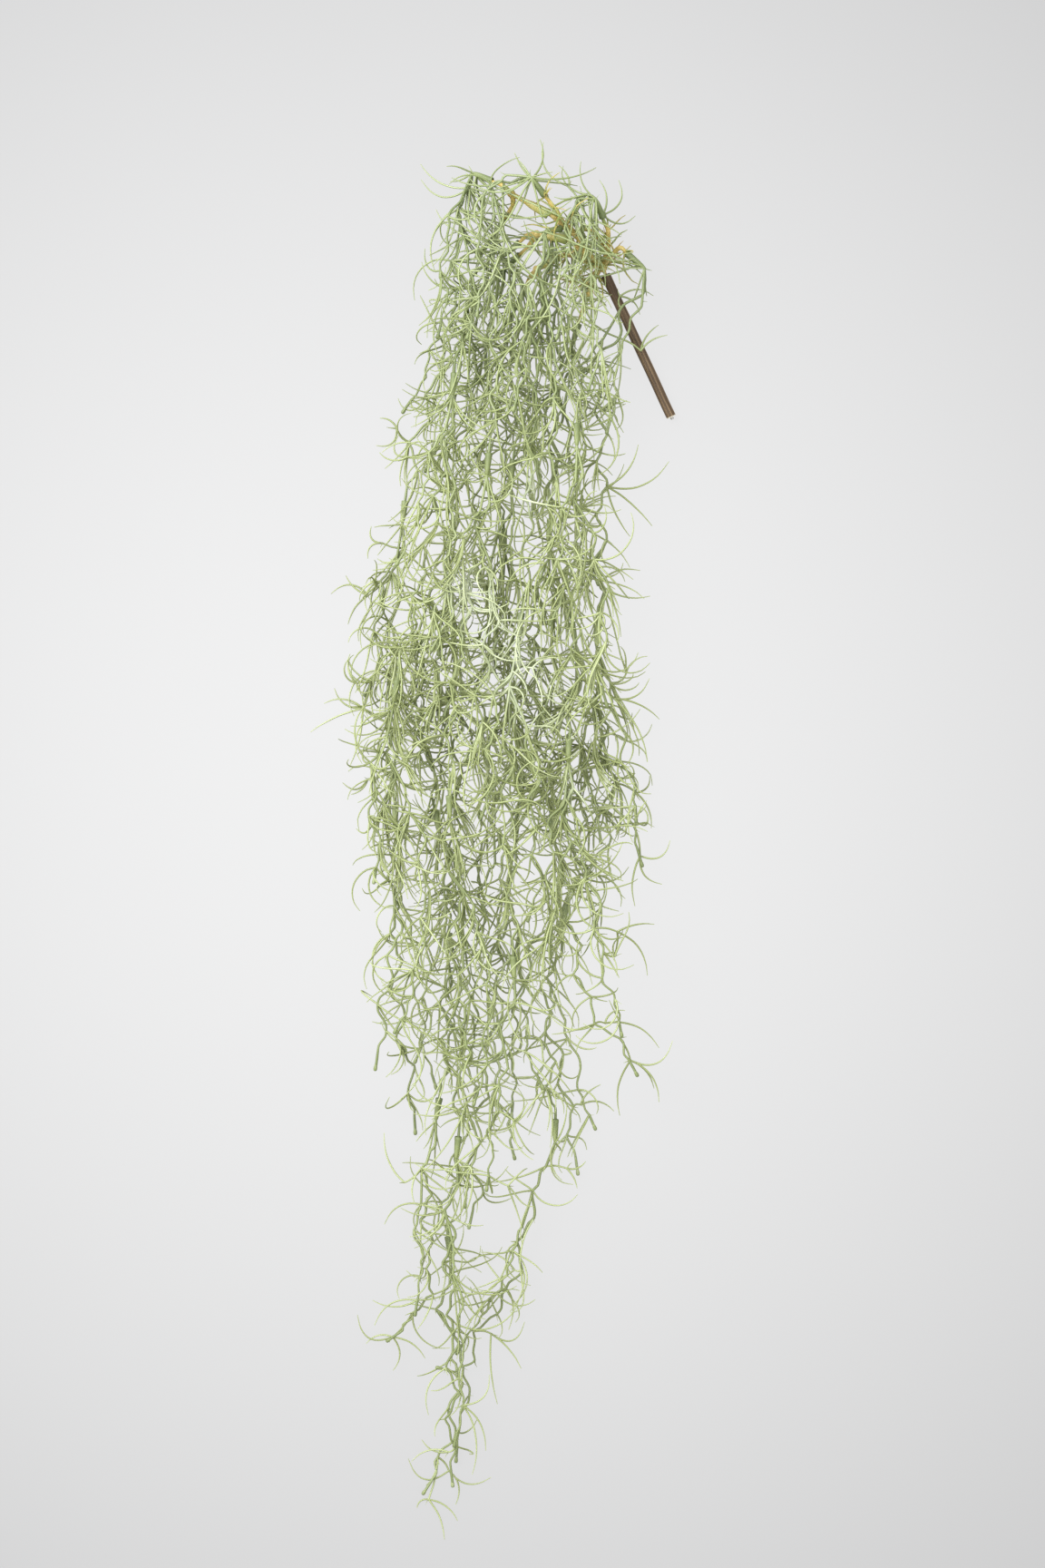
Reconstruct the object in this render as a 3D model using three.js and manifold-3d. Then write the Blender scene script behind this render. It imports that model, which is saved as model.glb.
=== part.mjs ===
import * as THREE from 'three';
import { mergeVertices } from 'three/addons/utils/BufferGeometryUtils.js';
import Module from 'manifold-3d';

const wasm = await Module();
wasm.setup();

// Artificial spanish moss bunch, lying flat. Millimetres: Y runs up to the stem end, Z is up.

// Driving dimensions
const moduleLength = 182; // one spray, from socket mouth to the next socket mouth
const jointStagger = 0.24; // most that a chain's joints are moved along it, as a share of a spray
const clearGap = 0.5; // between the surfaces of two sprays
const tableGap = 0.15; // under the sockets of the bottom layer

// Ribs run from a socket to a peg in kinks, which swing to both sides of the chain's route
const bendStep = 16; // from one kink to the next
const mainRib = {
  radius: 1.1,
  swing: [2, 4.4],
  toss: 4, // range of the kinks' heights in the upper layers
  sunk: 3, // start inside the socket's foot
  run: 1, // straight on past the foot
  taper: 4, // from the last point to the neck of the peg
  straightEnds: 12, // length at both ends together that has no kinks
};
const sideRib = {
  radius: 0.95,
  from: 3, // point of the main rib where it starts
  shift: 0.4, // of its kinks along the route, in steps of the main rib
  swing: [1.6, 3.6],
  offset: 15.5, // from the route
  ramp: [0.45, 0.85], // shares of the offset at its first kinks
  fullReach: 62, // reach of the lanes at which the offset is full; it is less on a narrower heap
  leastOffset: 0.35,
  leastSwing: 0.5,
  lift: 6,
  liftKinks: 3, // over which it rises
  fullHeap: 40, // height of the heap for the whole lift
  run: 2, // from the last kink to the neck of its peg
};
const flatBelow = 2.5; // height of a route that counts as lying on the table

// Fingers stand in whorls at the kinks and end in a point
const finger = {
  radius: 0.65, // at the root
  thinning: 0.75, // share of the root's radius that is gone just before the tip
  length: [19, 37],
  mainShare: 0.5, // chance that a kink carries one
  sideShare: 0.3,
  tries: 14,
  parts: 12, // steps along its path, of which the solid keeps every fourth or sixth
  sixthBelow: 33, // length under which every sixth will do
  lean: [0.6, 1.35], // radians from the rib to the start of the finger
  hook: [0.7, 2.1], // radians that it turns through on its way
  wavedShare: 0.35, // of the fingers turn back again, in an S
};
const heapHeadroom = 8; // that a finger may stand above the heap

const socket = { length: 13, mouth: 2.15, foot: 1.15, bore: 1.4, depth: 7.5, sides: 5 };
const forkSocket = { length: 15, mouth: 3.1, foot: 1.7, bore: 2, depth: 10, sides: 8 };
const socketRun = 4; // straight on past a socket before the route may bend
const peg = { radius: 0.95, neck: 3, neckRadius: 0.8, reach: 6.9, freeReach: 5 };
const forkPeg = { radius: 1.3, reach: 9.4 };
const arm = { radius: 1.6, forkRadius: 1.7, thinRadius: 1.3, bareRadius: 1.05, taper: 0.2, sides: 6 };
const knotRadius = 3.7;
const knuckleRadius = 2.5;
const forkFoot = 2; // how far a fork's trunk starts inside its socket's foot

const stem = {
  cutEnd: [107.0, 252.6, 3.4],
  head: [67.7, 335.8, 14],
  radius: 2.85,
  lobe: 0.25,
  lobes: 7,
  bore: 1.35,
  wireRadius: 1,
  wireProud: 1.5,
  wireGap: 0.4, // between the wire and the arms' root, inside the bore
  rootRadius: 1,
  rootReach: 12,
};

// The heap seen from above: left and right edge and height at stations down its length
const heap = [
  { y: 415, left: -12, right: 48, height: 50 },
  { y: 389, left: -26, right: 60, height: 56 },
  { y: 362, left: -32, right: 80, height: 57 },
  { y: 336, left: -35, right: 86, height: 56 },
  { y: 282, left: -47, right: 80, height: 56 },
  { y: 229, left: -59, right: 75, height: 57 },
  { y: 176, left: -68, right: 79, height: 58 },
  { y: 123, left: -79, right: 87, height: 60 },
  { y: 69, left: -84, right: 90, height: 60 },
  { y: 16, left: -79, right: 90, height: 56 },
  { y: -37, left: -73, right: 85, height: 52 },
  { y: -91, left: -69, right: 74, height: 46 },
  { y: -144, left: -58, right: 62, height: 38 },
  { y: -197, left: -55, right: 52, height: 30 },
  { y: -251, left: -50, right: 28, height: 22 },
  { y: -304, left: -46, right: 12, height: 15 },
  { y: -357, left: -44, right: 0, height: 11 },
  { y: -413, left: -34, right: -16, height: 7 },
];
const laneMargin = 18; // from the outermost rib to the heap's edge
const laneStations = [290, 225, 160, 95, 30, -35, -95, -140];
const ripple = { height: 3.5, length: 38, fullHeap: 58 }; // slow rise and fall of the upper layers' ribs
const layers = { // share of the heap's height, way the side ribs lie, and the slow sway of all its lanes
  bottom: { share: 0, sideways: 1, sway: 7, swayLength: 52, swayTurn: 0.4 },
  middle: { share: 0.45, sideways: -1, sway: 9, swayLength: 43, swayTurn: 2.6 },
  top: { share: 0.85, sideways: 1, sway: 8, swayLength: 60, swayTurn: 4.4 },
};

// Each chain of sprays: the arm it hangs on, its lane across the heap from -1 to 1, its layer, the way
// from the arm into the lane and, past the last lane station that it keeps, its tail
const chains = [
  { arm: 'upperLeft', lane: -0.85, layer: 'top', until: -60,
    rise: [[-16, 372, 46], [-21, 348, 47]], tail: [[-62, -95], [-67, -128]] },
  { arm: 'upperTop', lane: -0.33, layer: 'top', until: -120,
    rise: [[22, 391, 56], [6, 388, 56], [-1, 368, 52], [1, 335, 48]],
    tail: [[-19, -176], [-23, -200], [-24, -225], [-27, -250], [-22, -280], [-23, -304],
      [-22, -330], [-25, -357], [-23, -376]] },
  { arm: 'upperRight', lane: 0.18, layer: 'top', until: -95,
    rise: [[33, 344, 52], [29, 322, 49]], tail: [[-3, -140], [-12, -170], [-7, -200], [-12, -222]] },
  { arm: 'rightHigh', lane: 0.7, layer: 'top', until: -35,
    rise: [[56, 384, 47], [50, 374, 50], [51, 345, 49]],
    tail: [[56, -92], [68, -112], [79, -123], [84, -132]] },
  { arm: 'upperDown', lane: -0.58, layer: 'middle', until: -140,
    rise: [[-3, 345, 27], [-10, 322, 25]],
    tail: [[-38, -192], [-40, -230], [-33, -248], [-37, -266], [-45, -283], [-58, -292]] },
  { arm: 'middleLeft', lane: -0.05, layer: 'middle', until: -95,
    rise: [[13, 338, 27], [13, 318, 25]], tail: [[2, -150]] },
  { arm: 'thinLeft', lane: 0.45, layer: 'middle', until: -95,
    rise: [[33, 350, 27], [35, 325, 25]],
    tail: [[38, -149], [38, -176], [28, -192], [28, -210], [19, -228], [20, -243], [13, -254],
      [13, -265], [-2, -279], [-8, -292], [-11, -306], [-19, -313], [-28, -311]] },
  { arm: 'rightLoop', lane: 1, layer: 'middle', until: 30,
    rise: [[85, 322, 26], [75, 302, 25]], tail: [[82, 12], [88, -9]] },
  { arm: 'middleDown', lane: -1, layer: 'bottom', until: -140,
    rise: [[1, 336, 14], [-12, 318, 4]], tail: [[-45, -168]] },
  { arm: 'lowerLeft', lane: -0.45, layer: 'bottom', until: -140,
    rise: [[12, 310, 4]],
    tail: [[-15, -176], [-22, -194], [-27, -219], [-24, -246], [-31, -271], [-25, -290], [-20, -308],
      [-19, -326], [-24, -345], [-29, -368], [-38, -382]] },
  { arm: 'lowerRight', lane: 0.1, layer: 'bottom', until: -140,
    rise: [[31, 308, 4]], tail: [[13, -183]] },
  { arm: 'lowest', lane: 0.68, layer: 'bottom', until: -95,
    rise: [], tail: [[45, -152], [49, -178], [51, -192]] },
];

// Arms, as points from the stem head to the start of the peg, and the fork pieces on them
const head = [65.5, 340.6, 15];
const arms = {
  upperRight: [[51, 354.5, 38], [46, 360, 44], [41, 358.5, 49]],
  upperTop: [[43.5, 360.8, 43.5], [37.5, 370, 49], [31.4, 377.4, 54]],
  rightHigh: [head, [69, 350, 24], [68.5, 359, 34], [65.5, 366, 41]],
  thinLeft: [[67, 348, 21], [62, 358, 25], [55, 361, 26.5], [49, 359.5, 26.5]],
  rightLoop: [head, [71, 346, 22], [76, 350, 27], [80, 346.5, 28]],
  lowest: [head, [60, 331, 9], [55, 318, 3.4], [52, 308, 2.9]],
};
const forks = [
  { name: 'fork_upper', arm: [head, [61, 343.5, 25], [51, 354.5, 38], [38.5, 364.2, 46.5], [34, 367, 48]],
    junction: [12, 379, 48],
    ends: { upperLeft: [[7, 384, 46], [1, 387, 43]], upperDown: [[13, 373, 43], [8.5, 366.5, 36]] } },
  { name: 'fork_middle', arm: [head, [59, 343, 22], [51, 350, 31], [45, 354, 34]],
    junction: [27, 357.5, 33],
    ends: { middleLeft: [[22, 357, 31.5], [17, 353, 29]], middleDown: [[23, 352, 27], [17, 346.5, 22]] } },
  { name: 'fork_lower', arm: [head, [57, 343, 13], [48, 347.5, 13], [41, 347, 13]],
    junction: [27, 339.5, 11.5],
    ends: { lowerLeft: [[23, 334, 9.5], [20, 328, 7]], lowerRight: [[29, 334, 9.5], [30, 327, 7]] } },
];
const bareArm = [[60, 335.5, 13], [53, 332, 10], [46.5, 332, 9]];

// Twigs that stand out of the heap, seen from above: the point where each one forks, and its finger
// tips, each with the bow of the way there
const twigs = [
  { hub: [-9, 383], tips: [[-41, 399, 5], [-41, 390, 8], [-13, 398, -2]] },
  { hub: [-18, 362], tips: [[-34, 356, -5], [-30, 338, 3]] },
  { hub: [24, 388], tips: [[29, 413, -4], [14, 405, 1]] },
  { hub: [46, 384], tips: [[31, 412, 7], [40, 398, -2]] },
  { hub: [66, 368], tips: [[75, 390, -6], [64, 390, -3], [85, 369, -5]] },
  { hub: [76, 322], tips: [[96, 323, 4], [88, 312, 3]] },
  { hub: [88, 290], tips: [[99, 306, 2], [104, 300, 2]] },
  { hub: [66, 255], tips: [[79, 259, 2], [75, 247, 3]] },
  { hub: [70, 213], tips: [[105, 225, -7], [87, 235, -4], [95, 187, 2], [82, 181, -2]] },
  { hub: [-56, 246], tips: [[-68, 236, 5], [-66, 252, -2]] },
  { hub: [-64, 178], tips: [[-73, 169, -4], [-71, 188, 4]] },
  { hub: [64, 153], tips: [[88, 161, 4], [94, 146, -4]] },
  { hub: [-73, 147], tips: [[-95, 148, -6], [-86, 159, 2], [-85, 130, -2]] },
  { hub: [-76, 80], tips: [[-107, 66, -2], [-99, 83, -4], [-93, 92, 4], [-84, 45, 2]] },
  { hub: [72, 85], tips: [[93, 97, -5], [99, 73, 3], [92, 48, 4]] },
  { hub: [-73, 38], tips: [[-88, 36, 5], [-83, 29, 2]] },
  { hub: [-70, 10], tips: [[-79, 9, 3]] },
  { hub: [86, 30], tips: [[95, 9, 3], [94, 40, -3]] },
  { hub: [88, -7], tips: [[106, 2, -6], [101, -24, -5], [85, -37, -3]] },
  { hub: [74, -51], tips: [[96, -47, 2], [92, -77, 5], [72, -66, 1]] },
  { hub: [67, -105], tips: [[99, -120, 6], [79, -98, 3]] },
  { hub: [82, -127], tips: [[107, -116, -8], [99, -152, 5], [96, -144, 3], [76, -160, -4]] },
  { hub: [53, -155], tips: [[73, -159, 4], [65, -143, 2]] },
  { hub: [-41, -209], tips: [[-63, -225, -5]] },
  { hub: [-51, -200], tips: [[-63, -171, 4]] },
  { hub: [45, -192], tips: [[51, -204, 1], [56, -188, -2]] },
  { hub: [14, -252], tips: [[-11, -264, 1], [-6, -242, -3]] },
  { hub: [-41, -270], tips: [[-70, -270, 4], [-69, -285, -6]] },
  { hub: [-58, -292], tips: [[-79, -279, 8], [-74, -296, -3], [-58, -312, 4], [-39, -305, 3]] },
  { hub: [0, -290], tips: [[20, -283, -8], [18, -311, 2], [4, -332, -2]] },
  { hub: [-28, -311], tips: [[-37, -338, -6], [-18, -322, 2]] },
  { hub: [-15, -335], tips: [[-1, -314, -6], [-3, -359, 4], [-11, -373, 5]] },
  { hub: [-25, -360], tips: [[-41, -353, 3], [-47, -366, -4]] },
  { hub: [-25, -372], tips: [[-49, -365, 9], [0, -376, -6], [-21, -392, 4]] },
  { hub: [-37, -389], tips: [[-27.5, -413, 2], [-20, -402, 3], [-44, -394, -2]] },
];
const twig = {
  stalkRadius: 0.8,
  shortestStalk: 4,
  forkHeight: 0.85, // as a share of the height of the kink that it grows from
  tipHeight: 0.7, // as a share of the fork's
  lifts: [0, 4, -4, 8, -8, 13, 18, -14], // heights to try, to pass clear of other sprays
};

// Randomness: a Lehmer generator, started afresh for each spray
function makeDraw(seed) {
  let state = (seed * 7919 + 104729) % 2147483647;
  const draw = () => {
    state = (state * 16807) % 2147483647;
    return state / 2147483647;
  };
  draw();
  draw();
  draw();
  return draw;
}

// Points and paths
const up = new THREE.Vector3(0, 0, 1);
const point = ([x, y, z]) => new THREE.Vector3(x, y, z);
const along = (from, direction, distance) => from.clone().addScaledVector(direction, distance);
const directionTo = (from, to) => to.clone().sub(from).normalize();
const sideOf = (direction) => new THREE.Vector3(-direction.y, direction.x, 0).normalize();
const between = ([least, most], share) => least + (most - least) * share;

function heapAt(y) {
  const found = heap.findIndex((station) => station.y < y);
  const row = found === -1 ? heap.length - 1 : Math.max(found, 1);
  const before = heap[row - 1];
  const after = heap[row];
  const share = Math.min(Math.max((before.y - y) / (before.y - after.y), 0), 1);
  return {
    left: before.left + (after.left - before.left) * share,
    right: before.right + (after.right - before.right) * share,
    height: before.height + (after.height - before.height) * share,
  };
}

// Cuts every corner off at a quarter of its sides, as often as asked
function roundCorners(points, rounds) {
  if (rounds === 0) {
    return points;
  }
  const result = [points[0]];
  for (let i = 0; i < points.length - 1; i += 1) {
    result.push(points[i].clone().lerp(points[i + 1], 0.25), points[i].clone().lerp(points[i + 1], 0.75));
  }
  result.push(points.at(-1));
  return roundCorners(result, rounds - 1);
}

function pathLength(points) {
  let length = 0;
  for (let i = 1; i < points.length; i += 1) {
    length += points[i].distanceTo(points[i - 1]);
  }
  return length;
}

function placeOn(points, distance) {
  let left = distance;
  for (let i = 1; i < points.length; i += 1) {
    const step = points[i].distanceTo(points[i - 1]);
    const direction = directionTo(points[i - 1], points[i]);
    if (left <= step || i === points.length - 1) {
      return { at: along(points[i - 1], direction, left), direction };
    }
    left -= step;
  }
  return null;
}

// The clear space between pieces: points every 2 mm along each piece's axis, in a grid of cells
const cell = 8;
const sampleStep = 2;
const taken = new Map();

function samplesOf(points) {
  const samples = [];
  for (let i = 1; i < points.length; i += 1) {
    const count = Math.max(1, Math.ceil(points[i].distanceTo(points[i - 1]) / sampleStep));
    for (let k = 0; k < count; k += 1) {
      samples.push(points[i - 1].clone().lerp(points[i], k / count));
    }
  }
  samples.push(points.at(-1));
  return samples;
}

function take(points, radius, owner) {
  for (const sample of samplesOf(points)) {
    const key = [sample.x, sample.y, sample.z].map((v) => Math.floor(v / cell)).join();
    if (!taken.has(key)) {
      taken.set(key, []);
    }
    taken.get(key).push({ at: sample, radius, owner });
  }
}

function isClear(points, radius, owner) {
  for (const sample of samplesOf(points)) {
    const [cx, cy, cz] = [sample.x, sample.y, sample.z].map((v) => Math.floor(v / cell));
    for (let i = cx - 1; i <= cx + 1; i += 1) {
      for (let j = cy - 1; j <= cy + 1; j += 1) {
        for (let k = cz - 1; k <= cz + 1; k += 1) {
          for (const other of taken.get([i, j, k].join()) ?? []) {
            const reach = radius + other.radius + clearGap;
            const nearest = reach * reach + sampleStep * sampleStep / 2;
            if (other.owner !== owner && sample.distanceToSquared(other.at) < nearest) {
              return false;
            }
          }
        }
      }
    }
  }
  return true;
}

// Solids
const mergeWithin = 1e-4;
const smoothing = 0.07; // farthest that a fused surface moves when its smallest faces are dropped
const steep = 0.05; // share of a direction across the floor below which it counts as upright

function toManifold(geometry) {
  geometry.deleteAttribute('normal');
  geometry.deleteAttribute('uv');
  const merged = mergeVertices(geometry, mergeWithin);
  return new wasm.Manifold(new wasm.Mesh({
    numProp: 3,
    vertProperties: Float32Array.from(merged.attributes.position.array),
    triVerts: Uint32Array.from(merged.index.array),
  }));
}

// Bends an upright cylinder or cone of unit size onto a path; its first ring goes to the path's end
function bendOnto(geometry, points, radii, level) {
  const position = geometry.attributes.position;
  const last = points.length - 1;
  const rings = points.map((centre, i) => {
    const tangent = directionTo(points[Math.max(i - 1, 0)], points[Math.min(i + 1, last)]);
    const side = Math.hypot(tangent.x, tangent.y) > steep ? sideOf(tangent) : new THREE.Vector3(1, 0, 0);
    const top = level ? up.clone() : tangent.clone().cross(side);
    return { centre, side, top, radius: radii[i] };
  });
  for (let v = 0; v < position.count; v += 1) {
    const ring = rings[Math.round((position.getY(v) + 0.5) * last)];
    const spot = ring.centre.clone()
      .addScaledVector(ring.side, -position.getX(v) * ring.radius)
      .addScaledVector(ring.top, position.getZ(v) * ring.radius);
    position.setXYZ(v, spot.x, spot.y, spot.z);
  }
  return toManifold(geometry);
}

function rod(points, radii, sides, level = false) {
  return bendOnto(new THREE.CylinderGeometry(1, 1, 1, sides, points.length - 1), points, radii, level);
}

function thorn(points) {
  const last = points.length - 1;
  const slimmed = points.map((_, i) => finger.radius * (1 - finger.thinning * i / last));
  return bendOnto(new THREE.ConeGeometry(1, 1, 3, last), points, slimmed, false);
}

function turned(profile, sides, mouth, direction) {
  const geometry = new THREE.LatheGeometry(profile.map(([r, y]) => new THREE.Vector2(r, y)), sides);
  geometry.applyQuaternion(new THREE.Quaternion().setFromUnitVectors(new THREE.Vector3(0, 1, 0), direction));
  geometry.translate(mouth.x, mouth.y, mouth.z);
  return toManifold(geometry);
}

function socketSolid(size, mouth, direction) {
  return turned([[0, size.depth], [size.bore, size.depth], [size.bore, 0], [size.mouth, 0],
    [size.foot, size.length], [0, size.length]], size.sides, mouth, direction);
}

// Joins solids into one, and fills the tiny pockets that are left between them
function fused(solids) {
  const bodies = wasm.Manifold.union(solids).asOriginal().simplify(smoothing).decompose();
  return wasm.Manifold.compose(bodies.filter((body) => body.volume() > 0));
}

function toGeometry(solid) {
  const mesh = solid.getMesh();
  const geometry = new THREE.BufferGeometry();
  geometry.setAttribute('position', new THREE.BufferAttribute(Float32Array.from(mesh.vertProperties), 3));
  geometry.setIndex(new THREE.BufferAttribute(Uint32Array.from(mesh.triVerts), 1));
  geometry.computeVertexNormals();
  return geometry;
}

// Routes of the chains
function laneAt(chain, y) {
  const { left, right, height } = heapAt(y);
  const layer = layers[chain.layer];
  const reach = (right - left) / 2 - laneMargin;
  const swing = layer.sway * Math.sin(y / layer.swayLength + layer.swayTurn);
  const x = (left + right) / 2 + chain.lane * reach + swing;
  const rise = layer.share ? ripple.height * Math.sin(y / ripple.length + chain.lane * 4) : 0;
  return new THREE.Vector3(x, y, layer.share * height + rise * height / ripple.fullHeap);
}

function routeOf(chain) {
  const start = armEnds[chain.arm];
  const lanes = laneStations.filter((y) => y >= chain.until).map((y) => laneAt(chain, y));
  const tail = chain.tail.map(([x, y]) => (
    new THREE.Vector3(x, y, layers[chain.layer].share * heapAt(y).height)));
  const points = [along(start.at, start.direction, socket.length + socketRun),
    ...chain.rise.map(point), ...lanes, ...tail];
  return [start.at, along(start.at, start.direction, socket.length), ...roundCorners(points, 3)];
}

// Arms and their pegs
function endOf(points) {
  const last = point(points.at(-1));
  return { at: last, direction: directionTo(point(points.at(-2)), last) };
}

const armEnds = {};
for (const ways of [arms, ...forks.map((fork) => fork.ends)]) {
  for (const [name, points] of Object.entries(ways)) {
    armEnds[name] = endOf(points);
  }
}

// An arm thins towards its end and carries a peg there, if it has one
function armSolid(points, radius, owner, end = null, endPeg = peg) {
  const path = points.map(point);
  const radii = path.map((_, i) => radius * (1 - arm.taper * i / (path.length - 1)));
  if (end) {
    radii.splice(-1, 1, endPeg.radius, endPeg.radius);
    path.push(along(end.at, end.direction, endPeg.reach));
  }
  take(path, radius, owner);
  return rod(path, radii, arm.sides);
}

function branchFrame() {
  const owner = 'branch_frame';
  const stemDirection = directionTo(point(stem.cutEnd), point(stem.head));
  const root = [along(point(stem.head), stemDirection, -stem.rootReach), point(head)];
  const knot = new THREE.SphereGeometry(knotRadius, 8, 5).translate(...head);
  const solids = [rod(root, [stem.rootRadius, stem.rootRadius], arm.sides), toManifold(knot),
    armSolid([head, ...bareArm], arm.bareRadius, owner)];
  take([point(head)], knotRadius, owner);
  for (const [name, points] of Object.entries(arms)) {
    solids.push(armSolid(points, name === 'thinLeft' ? arm.thinRadius : arm.radius, owner, armEnds[name]));
  }
  for (const fork of forks) {
    const mouth = point(fork.arm.at(-1));
    const end = { at: mouth, direction: directionTo(mouth, point(fork.junction)) };
    solids.push(armSolid(fork.arm, arm.forkRadius, owner, end, forkPeg));
  }
  return fused(solids);
}

function forkPiece(fork) {
  const mouth = point(fork.arm.at(-1));
  const direction = directionTo(mouth, point(fork.junction));
  const foot = along(mouth, direction, forkSocket.length - forkFoot);
  const knuckle = new THREE.SphereGeometry(knuckleRadius, 8, 5).translate(...fork.junction);
  const solids = [socketSolid(forkSocket, mouth, direction), toManifold(knuckle),
    armSolid([foot.toArray(), fork.junction], arm.radius, fork.name)];
  take([mouth, along(mouth, direction, forkSocket.length)], forkSocket.mouth, fork.name);
  for (const [name, points] of Object.entries(fork.ends)) {
    solids.push(armSolid([fork.junction, ...points], arm.radius, fork.name, armEnds[name]));
  }
  return fused(solids);
}

// The stem
function stemSheath() {
  const outline = new THREE.Shape();
  const steps = stem.lobes * 4;
  for (let i = 0; i < steps; i += 1) {
    const angle = i / steps * Math.PI * 2;
    const radius = stem.radius + stem.lobe * Math.cos(angle * stem.lobes);
    outline[i === 0 ? 'moveTo' : 'lineTo'](radius * Math.cos(angle), radius * Math.sin(angle));
  }
  outline.closePath();
  outline.holes.push(new THREE.Path().absarc(0, 0, stem.bore, 0, Math.PI * 2, true));
  const path = new THREE.LineCurve3(point(stem.cutEnd), point(stem.head));
  take([point(stem.cutEnd), point(stem.head)], stem.radius + stem.lobe, 'stem_sheath');
  return toManifold(new THREE.ExtrudeGeometry(outline, { steps: 1, curveSegments: 6, extrudePath: path }));
}

function stemWire() {
  const direction = directionTo(point(stem.cutEnd), point(stem.head));
  const from = along(point(stem.cutEnd), direction, -stem.wireProud);
  const to = along(point(stem.head), direction, -stem.rootReach - stem.wireGap);
  return rod([from, to], [stem.wireRadius, stem.wireRadius], 8);
}

// Sprays
function jointOn(chain, tier) {
  const spot = placeOn(chain.route, chain.joints[tier]);
  if (chain.layer === 'bottom' && tier > 0) {
    spot.at.z = Math.max(spot.at.z, socket.mouth + tableGap);
    spot.direction.setZ(0).normalize();
  }
  return spot;
}

function kinksOf(chain, tier) {
  const free = chain.joints[tier + 1] - chain.joints[tier] - socket.length - mainRib.straightEnds;
  const count = Math.round(free / bendStep);
  return { from: chain.joints[tier] + socket.length, count, step: free / (count + 0.5) };
}

function kinkBeside(chain, spot, sideways, radius, lift) {
  const kink = along(spot.at, sideOf(spot.direction), sideways);
  const isLow = chain.layer === 'bottom' && spot.at.z < flatBelow;
  kink.z = isLow ? radius / 2 + lift : Math.max(spot.at.z + lift, radius / 2);
  return kink;
}

function planMainRib(chain, tier, draw) {
  const start = jointOn(chain, tier);
  const end = jointOn(chain, tier + 1);
  const { from, count, step } = kinksOf(chain, tier);
  const points = [along(start.at, start.direction, socket.length - mainRib.sunk),
    along(start.at, start.direction, socket.length + mainRib.run)];
  for (let i = 1; i <= count; i += 1) {
    const swing = (i % 2 ? 1 : -1) * between(mainRib.swing, draw());
    const lift = chain.layer === 'bottom' ? 0 : (draw() - 0.5) * mainRib.toss;
    points.push(kinkBeside(chain, placeOn(chain.route, from + i * step), swing, mainRib.radius, lift));
  }
  points.push(along(end.at, end.direction, -peg.neck - mainRib.taper));
  const isLast = tier === chain.tiers - 1;
  return { points, end, bends: points.slice(2, -1), pegReach: isLast ? peg.freeReach : peg.reach };
}

function planSideRib(chain, tier, main, draw) {
  const { from, count, step } = kinksOf(chain, tier);
  const { sideways } = layers[chain.layer];
  const lift = tier % 2 === 1 || chain.layer !== 'bottom' ? sideRib.lift : 0;
  const points = [main.points[sideRib.from]];
  for (let i = sideRib.from; i < count; i += 1) {
    const spot = placeOn(chain.route, from + (i + sideRib.shift) * step);
    const { left, right, height } = heapAt(spot.at.y);
    const room = Math.min(1, ((right - left) / 2 - laneMargin) / sideRib.fullReach);
    const ramp = sideRib.ramp[i - sideRib.from] ?? 1;
    const offset = sideRib.offset * ramp * Math.max(room, sideRib.leastOffset) * sideways;
    const swing = (i % 2 ? 1 : -1) * between(sideRib.swing, draw()) * Math.max(room, sideRib.leastSwing);
    const risen = Math.min(1, (i - sideRib.from + 1) / sideRib.liftKinks);
    const rise = lift * risen * Math.min(1, height / sideRib.fullHeap);
    points.push(kinkBeside(chain, spot, offset + swing, sideRib.radius, rise));
  }
  const direction = directionTo(points.at(-2), points.at(-1));
  const end = { at: along(points.at(-1), direction, peg.neck + sideRib.run), direction };
  return { points, end, bends: points.slice(1), pegReach: peg.freeReach };
}

function fingerPath(root, direction, length, hook, sweep, isWaved) {
  const across = Math.abs(direction.z) < 0.9 ? up : new THREE.Vector3(1, 0, 0);
  const bendTo = direction.clone().cross(across).normalize().applyAxisAngle(direction, sweep);
  const path = [root.clone().setZ(Math.max(root.z, finger.radius))];
  for (let i = 0; i < finger.parts; i += 1) {
    const share = (i + 0.5) / finger.parts;
    const turn = hook * (isWaved ? share - 1.5 * share * share : share);
    const step = direction.clone().multiplyScalar(Math.cos(turn)).addScaledVector(bendTo, Math.sin(turn));
    const next = along(path.at(-1), step, length / finger.parts);
    next.z = Math.max(next.z, finger.radius);
    path.push(next);
  }
  return path;
}

function coarse(path, length) {
  const stride = length < finger.sixthBelow ? 6 : 4;
  return path.filter((_, i) => i % stride === 0);
}

function fitsHeap(path) {
  const tip = path.at(-1);
  const { left, right, height } = heapAt(tip.y);
  return tip.x > left && tip.x < right && tip.z < height + heapHeadroom;
}

function growFinger(spray, root, tangent, length) {
  const { draw } = spray;
  const side = sideOf(tangent);
  const top = tangent.clone().cross(side);
  for (let attempt = 0; attempt < finger.tries; attempt += 1) {
    const around = draw() * Math.PI * 2;
    const lean = between(finger.lean, draw());
    const hook = between(finger.hook, draw());
    const sweep = draw() * Math.PI * 2;
    const isWaved = draw() < finger.wavedShare;
    const direction = tangent.clone().multiplyScalar(Math.cos(lean))
      .addScaledVector(side, Math.sin(lean) * Math.cos(around))
      .addScaledVector(top, Math.sin(lean) * Math.sin(around));
    const path = coarse(fingerPath(root, direction, length, hook, sweep, isWaved), length);
    if (fitsHeap(path) && isClear(path, finger.radius, spray.name)) {
      take(path, finger.radius, spray.name);
      spray.fingers.push(path);
      return;
    }
  }
}

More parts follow.
